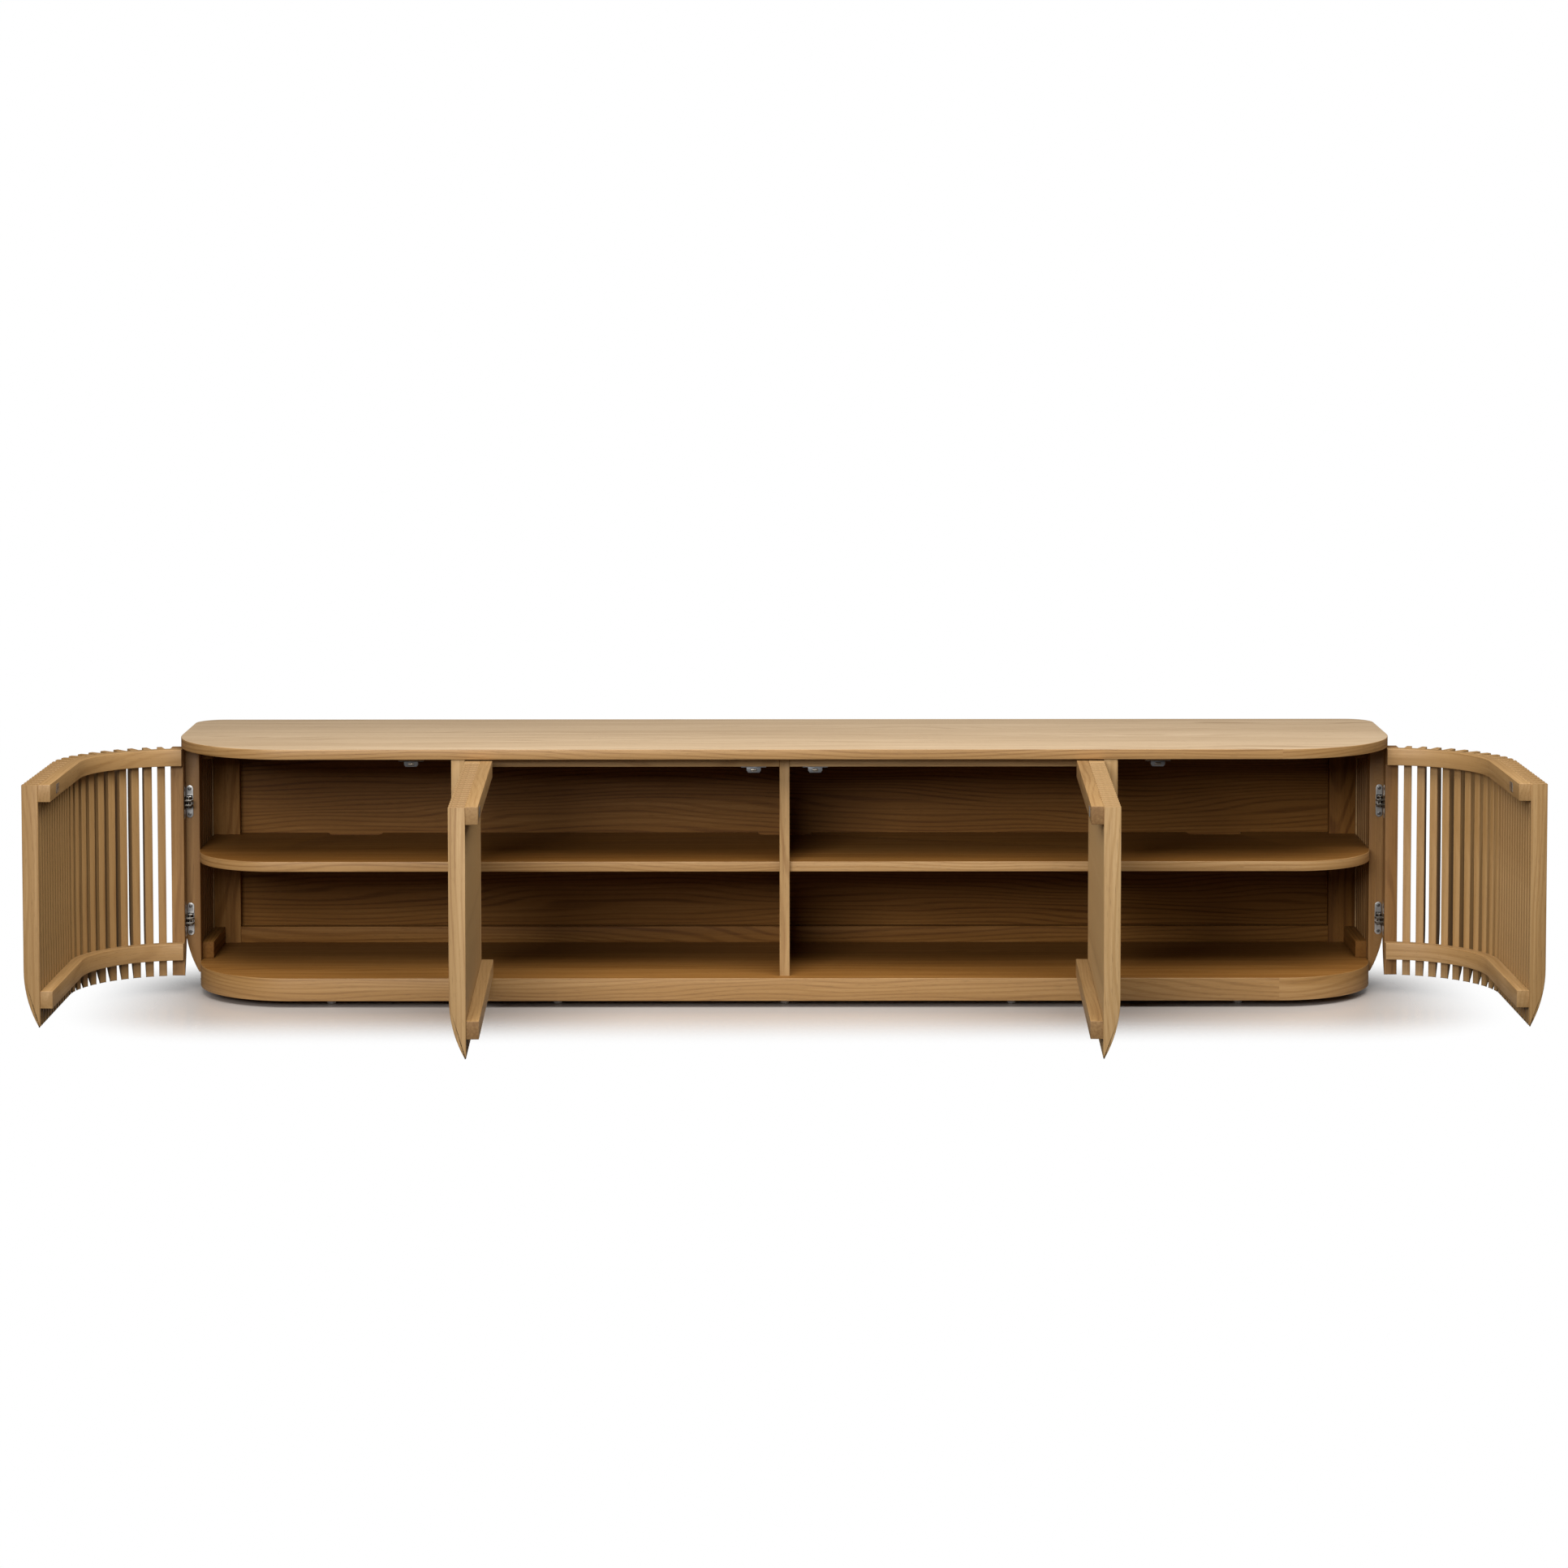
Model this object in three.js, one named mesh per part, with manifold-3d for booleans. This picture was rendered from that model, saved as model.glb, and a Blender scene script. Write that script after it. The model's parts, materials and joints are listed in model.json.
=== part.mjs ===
// Long, low media cabinet with four slatted oak doors, drawn with every door standing open.
// Millimetres, +Z up, X along the cabinet, the open front looks towards -Y.
import * as THREE from 'three';
import { mergeVertices } from 'three/addons/utils/BufferGeometryUtils.js';
import Module from 'manifold-3d';

// Driving dimensions
const WIDTH = 2200;
const DEPTH = 435;
const HEIGHT = 469;
const BOARD = 18;
const FRONT_RADIUS = 215;
const BACK_RADIUS = 50;

// Feet and base
const GLIDE_HEIGHT = 12;
const GLIDE_RADIUS = 8;
const GLIDE_SPACING = 408;
const GLIDE_ROWS = { front: 77, back: 368 };
const BASE_TOP = 53;
const BASE_INSET = 31;
const BASE_BACK_RADIUS = 12;

// Slats and the rails behind them
const REVEAL = 2;
const SLAT_WIDTH = 14.5;
const SLAT_NARROWING = 0.62;
const SLAT_DEPTH = 28;
const SLAT_LAP = 0.5;
const SLAT_TIP = 32;
const TAPER_RADIUS = 200;
const TAPER_START = 130;
const RAIL_DEPTH = 21;
const RAIL_HEIGHT = 30;
const DOOR_GAP_TOP = 2;
const DOOR_SLATS = 23;
const SIDE_SLATS = 6;
const STILE_WIDTH = 23;

// Door lines, measured from the middle of the cabinet
const MEETING_GAP = 3;
const MID_POST = { inner: 568, outer: 592 };
const OUTER_DOOR_FREE = 594.6;
const RAIL_SETBACK = 3;
const HINGE_LINE_Y = 208;
const HINGE_GAP = 1.5;
const PIVOT = { outer: { proud: 0.5, ahead: 6.2 }, inner: { proud: 1.5, ahead: -2 } };
const OUTER_OPEN = 90.2;
const INNER_OPEN = 88.4;

// Back, partition and shelves
const BACK_FRAME_FRONT = 393;
const BACK_PANEL = { thickness: 12, half: 1042 };
const BACK_STILE_INNER = 1020;
const REAR_POST_FRONT = 388;
const PARTITION_FRONT = 54;
const SHELF = { top: 258, front: 65, radius: 150 };
const CABLE_NOTCH = { x: 805, half: 50, depth: 30, radius: 15 };

// Catches and hinges
const CATCH_X = { inner: 55, outer: 668 };
const CATCH_FRONT = 52.8;
const CATCH_RAIL = { drop: 20, depth: 20 };
const CATCH_SPACER = 9;
const CATCH_FLANGE = { width: 45, depth: 16, thickness: 1.5 };
const CATCH_BODY = { width: 26, depth: 14, height: 11 };
const STRIKER = { width: 24, height: 16, thickness: 1 };
const HINGE_HEIGHTS = { upper: 346.5, lower: 130 };
const HINGE_FROM_FACE = 11;
const CUP = { length: 60, width: 13, depth: 16, pocketLength: 23, pocketWidth: 10.4, pocketDepth: 14.5 };
const FIT = 0.3;

// Worked out from the above
const HALF = WIDTH / 2;
const UNDERSIDE = HEIGHT - BOARD;
const DOOR_TOP = UNDERSIDE - DOOR_GAP_TOP;
const RAIL_OUTER = REVEAL + SLAT_DEPTH;
const RAIL_INNER = RAIL_OUTER + RAIL_DEPTH;
const DOOR_RAIL_Z = { top: DOOR_TOP - RAIL_HEIGHT, bottom: 63.5 };
const CORNER_X = HALF - FRONT_RADIUS;
const BASE_HALF = HALF - BASE_INSET;
const BACK_FACE = BACK_FRAME_FRONT + RAIL_DEPTH;
const DOOR_HINGE_Y = HINGE_LINE_Y - HINGE_GAP / 2;
const POST_FRONT_Y = HINGE_LINE_Y + HINGE_GAP / 2;
const INNER_HINGE_X = MID_POST.inner - HINGE_GAP;
const ARC_STEPS = 12;
const TAPER_STEPS = 3;
const PILL_STEPS = 4;
const GLIDE_SIDES = 12;
const GLIDES_EACH_WAY = 2;

// Materials
const OAK_TOP = { color: '#c3a578', roughness: 0.5, metalness: 0 };
const OAK_VENEER = { color: '#a67c47', roughness: 0.55, metalness: 0 };
const OAK_SOLID = { color: '#b48b55', roughness: 0.6, metalness: 0 };
const NICKEL = { color: '#b9bbbc', roughness: 0.35, metalness: 0.9 };
const ZINC_GREY = { color: '#7d8187', roughness: 0.4, metalness: 0.7 };
const WHITE_NYLON = { color: '#e6e4e0', roughness: 0.5, metalness: 0 };

const wasm = await Module();
wasm.setup();

function toSolid(geometry) {
  const bare = geometry.clone();
  bare.deleteAttribute('normal');
  bare.deleteAttribute('uv');
  const joined = mergeVertices(bare, 1e-4);
  const triVerts = new Uint32Array(joined.index.array);
  const vertProperties = new Float32Array(joined.attributes.position.array);
  return new wasm.Manifold(new wasm.Mesh({ numProp: 3, vertProperties, triVerts }));
}

function toGeometry(solid) {
  const mesh = solid.getMesh();
  const geometry = new THREE.BufferGeometry();
  geometry.setAttribute('position', new THREE.BufferAttribute(mesh.vertProperties, 3));
  geometry.setIndex(new THREE.BufferAttribute(mesh.triVerts, 1));
  const facets = geometry.toNonIndexed();
  facets.computeVertexNormals();
  return facets;
}

function join(geometries) {
  return toGeometry(geometries.map(toSolid).reduce((whole, next) => whole.add(next)));
}

function cut(geometry, tools) {
  return toGeometry(tools.map(toSolid).reduce((whole, tool) => whole.subtract(tool), toSolid(geometry)));
}

// A box between two X values on one side of the cabinet, side +1 to the right and -1 to the left
function box(side, x0, x1, y0, y1, z0, z1) {
  const geometry = new THREE.BoxGeometry(x1 - x0, y1 - y0, z1 - z0);
  return geometry.translate(side * (x0 + x1) / 2, (y0 + y1) / 2, (z0 + z1) / 2);
}

// A plan outline drawn for the right-hand side, raised between two heights
function plate(side, outline, z0, z1) {
  const points = outline.getPoints(ARC_STEPS).map((p) => new THREE.Vector2(side * p.x, p.y));
  const options = { depth: z1 - z0, bevelEnabled: false };
  const geometry = new THREE.ExtrudeGeometry(new THREE.Shape(points), options);
  return geometry.translate(0, 0, z0);
}

// Rounded plan of the cabinet: wide quarter circles at the front, small ones at the back
function cabinetOutline(half, front, back, frontRadius, backRadius) {
  const shape = new THREE.Shape();
  shape.moveTo(-half + frontRadius, front);
  shape.lineTo(half - frontRadius, front);
  shape.absarc(half - frontRadius, front + frontRadius, frontRadius, -Math.PI / 2, 0, false);
  shape.lineTo(half, back - backRadius);
  shape.absarc(half - backRadius, back - backRadius, backRadius, 0, Math.PI / 2, false);
  shape.lineTo(-half + backRadius, back);
  shape.absarc(-half + backRadius, back - backRadius, backRadius, Math.PI / 2, Math.PI, false);
  shape.lineTo(-half, front + frontRadius);
  shape.absarc(-half + frontRadius, front + frontRadius, frontRadius, Math.PI, 1.5 * Math.PI, false);
  return shape;
}

// A slat or post standing at an outer point, its outer edge curving in to a blunt tip.
// Its outer face is narrower than its inner one by the narrowing factor.
function slat(width, depth, top, x, y, inward, narrowing = 1) {
  const sweep = Math.asin((TAPER_START - SLAT_TIP) / TAPER_RADIUS);
  const profile = new THREE.Shape();
  profile.moveTo(depth, top);
  profile.lineTo(0, top);
  profile.lineTo(0, TAPER_START);
  profile.absarc(TAPER_RADIUS, TAPER_START, TAPER_RADIUS, Math.PI, Math.PI + sweep, false);
  profile.lineTo(depth, SLAT_TIP);
  const geometry = new THREE.ExtrudeGeometry(profile, {
    depth: width,
    bevelEnabled: false,
    curveSegments: TAPER_STEPS,
  });
  geometry.translate(0, 0, -width / 2);
  const points = geometry.attributes.position;
  for (let i = 0; i < points.count; i++) {
    const inset = points.getX(i) / depth;
    points.setZ(i, points.getZ(i) * (narrowing + (1 - narrowing) * inset));
  }
  const inwards = new THREE.Vector3(inward.x, inward.y, 0);
  const up = new THREE.Vector3(0, 0, 1);
  const across = new THREE.Vector3().crossVectors(inwards, up);
  const turn = new THREE.Matrix4().makeBasis(inwards, up, across);
  return geometry.applyMatrix4(turn).translate(x, y, 0);
}

// A slat of a door, placed by its distance from the middle along the face of the rails
function doorSlat(side, distance) {
  const angle = Math.max(0, distance - CORNER_X) / (FRONT_RADIUS - RAIL_OUTER);
  const reach = FRONT_RADIUS - REVEAL;
  const x = Math.min(distance, CORNER_X) + reach * Math.sin(angle);
  const y = FRONT_RADIUS - reach * Math.cos(angle);
  const inward = { x: -side * Math.sin(angle), y: Math.cos(angle) };
  return slat(SLAT_WIDTH, SLAT_DEPTH + SLAT_LAP, DOOR_TOP, side * x, y, inward, SLAT_NARROWING);
}

// Slats from the free end of a door, with an even gap between them and the hinge stile
function doorSlats(side, free, hingeEnd) {
  const run = Math.abs(hingeEnd - free);
  const direction = Math.sign(hingeEnd - free);
  const gap = (run - DOOR_SLATS * SLAT_WIDTH - STILE_WIDTH) / DOOR_SLATS;
  const slats = [];
  for (let i = 0; i < DOOR_SLATS; i++) {
    slats.push(doorSlat(side, free + direction * (SLAT_WIDTH / 2 + i * (SLAT_WIDTH + gap))));
  }
  return slats;
}

// Hinge end of the curved rail at a given radius, as an angle round the corner
function hingeEndAngle(radius) {
  return Math.acos((FRONT_RADIUS - DOOR_HINGE_Y) / radius);
}

function curvedRail(side, z0) {
  const outer = FRONT_RADIUS - RAIL_OUTER;
  const inner = FRONT_RADIUS - RAIL_INNER;
  const free = OUTER_DOOR_FREE + RAIL_SETBACK;
  const quarter = Math.PI / 2;
  const shape = new THREE.Shape();
  shape.moveTo(free, RAIL_OUTER);
  shape.lineTo(CORNER_X, RAIL_OUTER);
  shape.absarc(CORNER_X, FRONT_RADIUS, outer, -quarter, hingeEndAngle(outer) - quarter, false);
  shape.absarc(CORNER_X, FRONT_RADIUS, inner, hingeEndAngle(inner) - quarter, -quarter, true);
  shape.lineTo(free, RAIL_INNER);
  return plate(side, shape, z0, z0 + RAIL_HEIGHT);
}

function straightRail(side, z0) {
  const free = MEETING_GAP / 2 + RAIL_SETBACK;
  return box(side, free, INNER_HINGE_X, RAIL_OUTER, RAIL_INNER, z0, z0 + RAIL_HEIGHT);
}

// Rounded hinge plate lying in the XZ plane, filling the depth behind its face at Y = 0
function pill(grow, depth) {
  const radius = CUP.width / 2;
  const straight = CUP.length / 2 - radius;
  const shape = new THREE.Shape();
  shape.absarc(0, straight, radius + grow, 0, Math.PI, false);
  shape.absarc(0, -straight, radius + grow, Math.PI, 2 * Math.PI, false);
  const options = { depth, bevelEnabled: false, curveSegments: PILL_STEPS };
  const geometry = new THREE.ExtrudeGeometry(shape, options);
  return geometry.rotateX(Math.PI / 2).translate(0, depth, 0);
}

// Cup of a concealed hinge: a pill-shaped block with an open well for the links
function hingeCup() {
  const well = new THREE.BoxGeometry(CUP.pocketWidth, 2 * CUP.pocketDepth, CUP.pocketLength);
  return cut(pill(0, CUP.depth), [well]);
}

// Places a cup or its mortise with its face on a point, its body running along a direction
function seat(geometry, place) {
  const turned = geometry.clone().rotateZ(Math.atan2(place.into.y, place.into.x) - Math.PI / 2);
  return turned.translate(place.x, place.y, place.z);
}

function mortises(geometry, places) {
  return cut(geometry, places.map((place) => seat(pill(FIT, CUP.depth + FIT), place)));
}

// The two hinge seats in one face: x, y is the face point, into points into the wood
function hingeSeats(x, y, into) {
  return Object.values(HINGE_HEIGHTS).map((z) => ({ x, y, z, into }));
}

const cabinet = new THREE.Group();

function addMesh(parent, name, geometry, finish) {
  const mesh = new THREE.Mesh(geometry, new THREE.MeshStandardMaterial(finish));
  mesh.name = name;
  parent.add(mesh);
  return mesh;
}

function addPanels() {
  const top = cabinetOutline(HALF, 0, DEPTH, FRONT_RADIUS, BACK_RADIUS);
  addMesh(cabinet, 'top_panel', plate(1, top, UNDERSIDE, HEIGHT), OAK_TOP);
  const baseRadius = FRONT_RADIUS - BASE_INSET;
  const base = cabinetOutline(BASE_HALF, BASE_INSET, BACK_FACE, baseRadius, BASE_BACK_RADIUS);
  addMesh(cabinet, 'base_panel', plate(1, base, GLIDE_HEIGHT, BASE_TOP), OAK_VENEER);
  const rear = BACK_FACE + BACK_PANEL.thickness;
  const back = box(1, -BACK_PANEL.half, BACK_PANEL.half, BACK_FACE, rear, SLAT_TIP, UNDERSIDE);
  addMesh(cabinet, 'back_panel', back, OAK_VENEER);
  const railHeights = { bottom: BASE_TOP, top: UNDERSIDE - RAIL_HEIGHT };
  for (const [name, z] of Object.entries(railHeights)) {
    const reach = BACK_STILE_INNER;
    const rail = box(1, -reach, reach, BACK_FRAME_FRONT, BACK_FACE, z, z + RAIL_HEIGHT);
    addMesh(cabinet, `back_rail_${name}`, rail, OAK_VENEER);
  }
}

// The partition is notched at the back to pass round the two back rails
function addPartition() {
  const board = box(1, -BOARD / 2, BOARD / 2, PARTITION_FRONT, BACK_FACE, BASE_TOP, UNDERSIDE);
  const behind = BACK_FACE + BOARD;
  const notches = [
    box(1, -BOARD, BOARD, BACK_FRAME_FRONT, behind, 0, BASE_TOP + RAIL_HEIGHT),
    box(1, -BOARD, BOARD, BACK_FRAME_FRONT, behind, UNDERSIDE - RAIL_HEIGHT, HEIGHT),
  ];
  addMesh(cabinet, 'centre_partition', cut(board, notches), OAK_VENEER);
}

function shelfOutline() {
  const { x, half, depth, radius } = CABLE_NOTCH;
  const lip = BACK_FACE - depth;
  const quarter = Math.PI / 2;
  const shape = new THREE.Shape();
  shape.moveTo(BOARD / 2, SHELF.front);
  shape.lineTo(BASE_HALF - SHELF.radius, SHELF.front);
  shape.absarc(BASE_HALF - SHELF.radius, SHELF.front + SHELF.radius, SHELF.radius, -quarter, 0, false);
  shape.lineTo(BASE_HALF, BACK_FRAME_FRONT);
  shape.lineTo(BACK_STILE_INNER, BACK_FRAME_FRONT);
  shape.lineTo(BACK_STILE_INNER, BACK_FACE);
  shape.lineTo(x + half, BACK_FACE);
  shape.absarc(x + half - radius, lip + radius, radius, 0, -quarter, true);
  shape.absarc(x - half + radius, lip + radius, radius, -quarter, -2 * quarter, true);
  shape.lineTo(x - half, BACK_FACE);
  shape.lineTo(half, BACK_FACE);
  shape.absarc(half - radius, lip + radius, radius, 0, -quarter, true);
  shape.lineTo(BOARD / 2, lip);
  return shape;
}

// Rear corner post: wraps the back corner of the base and carries the stile inside the back frame
function rearPost(side) {
  const shape = new THREE.Shape();
  const centre = { x: HALF - BACK_RADIUS, y: DEPTH - BACK_RADIUS };
  const radius = BACK_RADIUS - REVEAL;
  const start = Math.asin((REAR_POST_FRONT - centre.y) / radius);
  shape.moveTo(BASE_HALF, REAR_POST_FRONT);
  shape.absarc(centre.x, centre.y, radius, start, Math.PI / 2, false);
  shape.lineTo(BACK_PANEL.half, DEPTH - REVEAL);
  shape.lineTo(BACK_PANEL.half, BACK_FACE);
  shape.lineTo(BASE_HALF, BACK_FACE);
  const wrap = plate(side, shape, SLAT_TIP, UNDERSIDE);
  const lap = BASE_HALF + 1;
  const stile = box(side, BACK_STILE_INNER, lap, BACK_FRAME_FRONT, BACK_FACE, BASE_TOP, UNDERSIDE);
  return join([wrap, stile]);
}

function sideGrille(side) {
  const start = POST_FRONT_Y + STILE_WIDTH + 1;
  const gap = (REAR_POST_FRONT - start - SIDE_SLATS * SLAT_WIDTH) / (SIDE_SLATS + 1);
  const pieces = [];
  for (const z of [BASE_TOP, UNDERSIDE - RAIL_HEIGHT]) {
    pieces.push(box(side, HALF - RAIL_INNER, HALF - RAIL_OUTER, start, BACK_FRAME_FRONT, z, z + RAIL_HEIGHT));
  }
  for (let i = 0; i < SIDE_SLATS; i++) {
    const y = start + gap + SLAT_WIDTH / 2 + i * (SLAT_WIDTH + gap);
    const inward = { x: -side, y: 0 };
    const x = side * (HALF - REVEAL);
    pieces.push(slat(SLAT_WIDTH, SLAT_DEPTH + SLAT_LAP, UNDERSIDE, x, y, inward, SLAT_NARROWING));
  }
  return join(pieces);
}

// A catch hangs under its mounting: flange, rounded body and, where there is no rail, a spacer
function addCatch(side, word, place, mounting, spacer) {
  const x = CATCH_X[place];
  const { width, depth, thickness } = CATCH_FLANGE;
  const rear = CATCH_FRONT + depth;
  const flangeTop = mounting - spacer;
  const front = CATCH_FRONT + 1;
  const flangeLow = flangeTop - thickness;
  const flange = box(side, x - width / 2, x + width / 2, front, rear, flangeLow, flangeTop);
  const halfBody = CATCH_BODY.width / 2;
  const bodyRear = CATCH_FRONT + CATCH_BODY.depth;
  const bodyTop = flangeTop - thickness / 2;
  const bodyLow = flangeTop - CATCH_BODY.height;
  const body = box(side, x - halfBody, x + halfBody, CATCH_FRONT, bodyRear, bodyLow, bodyTop);
  const pieces = [flange, body];
  if (spacer > 0) {
    const packing = box(side, x - width / 2, x + width / 2, front, rear, flangeTop - thickness / 2, mounting);
    pieces.push(packing);
  }
  addMesh(cabinet, `catch_${place}_${word}`, join(pieces), ZINC_GREY);
}

function addFixedSide(side, word) {
  addMesh(cabinet, `shelf_${word}`, plate(side, shelfOutline(), SHELF.top - BOARD, SHELF.top), OAK_VENEER);
  addMesh(cabinet, `rear_corner_post_${word}`, rearPost(side), OAK_SOLID);
  addMesh(cabinet, `side_grille_${word}`, sideGrille(side), OAK_SOLID);

  const postDepth = BASE_INSET - REVEAL;
  const postY = POST_FRONT_Y + STILE_WIDTH / 2;
  const post = slat(STILE_WIDTH, postDepth, UNDERSIDE, side * (HALF - REVEAL), postY, { x: -side, y: 0 });
  const seats = hingeSeats(side * (HALF - REVEAL - HINGE_FROM_FACE), POST_FRONT_Y, { x: 0, y: 1 });
  addMesh(cabinet, `hinge_post_${word}`, mortises(post, seats), OAK_SOLID);

  const midWidth = MID_POST.outer - MID_POST.inner;
  const midX = side * (MID_POST.outer + MID_POST.inner) / 2;
  const mid = slat(midWidth, postDepth, UNDERSIDE, midX, REVEAL, { x: 0, y: 1 });
  const midSeats = hingeSeats(side * MID_POST.inner, REVEAL + HINGE_FROM_FACE, { x: side, y: 0 });
  addMesh(cabinet, `mid_post_${word}`, mortises(mid, midSeats), OAK_SOLID);

  Object.keys(HINGE_HEIGHTS).forEach((level, i) => {
    addMesh(cabinet, `hinge_post_cup_outer_${word}_${level}`, seat(hingeCup(), seats[i]), NICKEL);
    addMesh(cabinet, `hinge_post_cup_inner_${word}_${level}`, seat(hingeCup(), midSeats[i]), NICKEL);
  });

  const railBack = PARTITION_FRONT + CATCH_RAIL.depth;
  const railBottom = UNDERSIDE - CATCH_RAIL.drop;
  const rail = box(side, BOARD / 2, MID_POST.outer, PARTITION_FRONT, railBack, railBottom, UNDERSIDE);
  addMesh(cabinet, `catch_rail_${word}`, rail, OAK_SOLID);
  addCatch(side, word, 'inner', railBottom, 0);
  addCatch(side, word, 'outer', UNDERSIDE, CATCH_SPACER);
}

// A door is drawn shut and then swung out about its hinge line
function addDoor(side, name, pivot, open, grille, stile, seats, striker) {
  const leaf = new THREE.Group();
  leaf.position.set(pivot.x, pivot.y, 0);
  leaf.rotation.z = side * THREE.MathUtils.degToRad(open);
  cabinet.add(leaf);
  const place = (part, geometry, finish) => {
    addMesh(leaf, `door_${name}_${part}`, geometry.translate(-pivot.x, -pivot.y, 0), finish);
  };
  place('grille', grille, OAK_SOLID);
  place('hinge_stile', mortises(stile, seats), OAK_SOLID);
  place('striker', striker, ZINC_GREY);
  Object.keys(HINGE_HEIGHTS).forEach((level, i) => {
    place(`hinge_cup_${level}`, seat(hingeCup(), seats[i]), NICKEL);
  });
}

function strikerPlate(side, x) {
  const half = STRIKER.width / 2;
  const z = DOOR_RAIL_Z.top + (RAIL_HEIGHT - STRIKER.height) / 2;
  const face = RAIL_INNER + FIT;
  return box(side, x - half, x + half, face, face + STRIKER.thickness, z, z + STRIKER.height);
}

function addOuterDoor(side, word) {
  const railRadius = FRONT_RADIUS - RAIL_OUTER;
  const hingeEnd = CORNER_X + railRadius * hingeEndAngle(railRadius);
  const rails = [curvedRail(side, DOOR_RAIL_Z.top), curvedRail(side, DOOR_RAIL_Z.bottom)];
  const grille = join([...rails, ...doorSlats(side, OUTER_DOOR_FREE, hingeEnd)]);
  const faceX = side * (HALF - REVEAL);
  const stileY = DOOR_HINGE_Y - STILE_WIDTH / 2;
  const stile = slat(STILE_WIDTH, SLAT_DEPTH - FIT, DOOR_TOP, faceX, stileY, { x: -side, y: 0 });
  const seats = hingeSeats(faceX - side * HINGE_FROM_FACE, DOOR_HINGE_Y, { x: 0, y: -1 });
  const { proud, ahead } = PIVOT.outer;
  const pivot = { x: faceX + side * proud, y: HINGE_LINE_Y - ahead };
  const striker = strikerPlate(side, CATCH_X.outer);
  addDoor(side, `outer_${word}`, pivot, OUTER_OPEN, grille, stile, seats, striker);
}

function addInnerDoor(side, word) {
  const rails = [straightRail(side, DOOR_RAIL_Z.top), straightRail(side, DOOR_RAIL_Z.bottom)];
  const grille = join([...rails, ...doorSlats(side, MEETING_GAP / 2, INNER_HINGE_X)]);
  const stileX = side * (INNER_HINGE_X - STILE_WIDTH / 2);
  const stile = slat(STILE_WIDTH, SLAT_DEPTH - FIT, DOOR_TOP, stileX, REVEAL, { x: 0, y: 1 });
  const seats = hingeSeats(side * INNER_HINGE_X, REVEAL + HINGE_FROM_FACE, { x: -side, y: 0 });
  const { proud, ahead } = PIVOT.inner;
  const pivot = { x: side * (MID_POST.inner - HINGE_GAP / 2 - ahead), y: REVEAL - proud };
  const striker = strikerPlate(side, CATCH_X.inner);
  addDoor(side, `inner_${word}`, pivot, INNER_OPEN, grille, stile, seats, striker);
}

function addGlides() {
  for (const [row, y] of Object.entries(GLIDE_ROWS)) {
    for (let i = -GLIDES_EACH_WAY; i <= GLIDES_EACH_WAY; i++) {
      const geometry = new THREE.CylinderGeometry(GLIDE_RADIUS, GLIDE_RADIUS, GLIDE_HEIGHT, GLIDE_SIDES);
      geometry.rotateX(Math.PI / 2).translate(i * GLIDE_SPACING, y, GLIDE_HEIGHT / 2);
      addMesh(cabinet, `glide_${row}_${i + GLIDES_EACH_WAY + 1}`, geometry, WHITE_NYLON);
    }
  }
}

addPanels();
addPartition();
for (const [word, side] of [['left', -1], ['right', 1]]) {
  addFixedSide(side, word);
  addOuterDoor(side, word);
  addInnerDoor(side, word);
}
addGlides();

// The origin lies under the middle of the whole object as it stands with its doors open
const extent = new THREE.Box3().setFromObject(cabinet, true);
cabinet.position.y = -(extent.min.y + extent.max.y) / 2;

const mediaCabinet = new THREE.Group();
mediaCabinet.add(cabinet);
export default mediaCabinet;
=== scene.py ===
# %% [markdown]
# # A long media cabinet with slatted oak doors
# The cabinet stands with its four doors open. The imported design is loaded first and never
# changes. Every wooden board, slat and fitting is then rebuilt around it with eased edges and
# a grain that runs the right way, because plain solids have neither.

# %% Load the frame
import json
import math

import bmesh
import bpy
import numpy as np
from mathutils import Matrix, Vector


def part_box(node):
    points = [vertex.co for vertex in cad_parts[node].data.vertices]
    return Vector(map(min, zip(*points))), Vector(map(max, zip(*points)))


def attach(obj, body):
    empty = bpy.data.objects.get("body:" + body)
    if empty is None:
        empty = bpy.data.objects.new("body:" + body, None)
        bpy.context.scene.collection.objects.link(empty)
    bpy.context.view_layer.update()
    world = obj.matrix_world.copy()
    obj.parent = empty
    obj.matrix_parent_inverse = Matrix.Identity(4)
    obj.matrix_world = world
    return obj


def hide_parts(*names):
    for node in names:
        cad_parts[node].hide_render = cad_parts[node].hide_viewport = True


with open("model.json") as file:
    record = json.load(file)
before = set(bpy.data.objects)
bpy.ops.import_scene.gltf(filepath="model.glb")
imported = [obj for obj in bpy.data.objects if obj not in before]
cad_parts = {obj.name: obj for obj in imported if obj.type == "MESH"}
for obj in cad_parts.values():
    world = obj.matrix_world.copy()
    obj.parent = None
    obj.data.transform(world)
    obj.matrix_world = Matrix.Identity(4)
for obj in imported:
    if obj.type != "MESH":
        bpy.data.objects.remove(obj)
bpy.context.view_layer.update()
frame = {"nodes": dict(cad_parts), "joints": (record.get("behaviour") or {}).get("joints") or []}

# %% [markdown]
# Sizes come from the loaded design where a box can tell them. The few that a box cannot tell,
# such as corner radii and the pitch of the slats, are named here once, in metres.

# %% Sizes
MM = 0.001
top_low, top_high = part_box("top_panel")
base_low, base_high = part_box("base_panel")
HALF = top_high.x
FRONT = top_low.y
BACK = top_high.y
TOP = top_high.z
UNDERSIDE = top_low.z
BASE_HALF = base_high.x
BASE_FRONT = base_low.y
FRONT_RADIUS = 215 * MM
BACK_RADIUS = 50 * MM
BASE_BACK_RADIUS = 12 * MM
CORNER_X = HALF - FRONT_RADIUS
CORNER_Y = FRONT + FRONT_RADIUS

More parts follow.
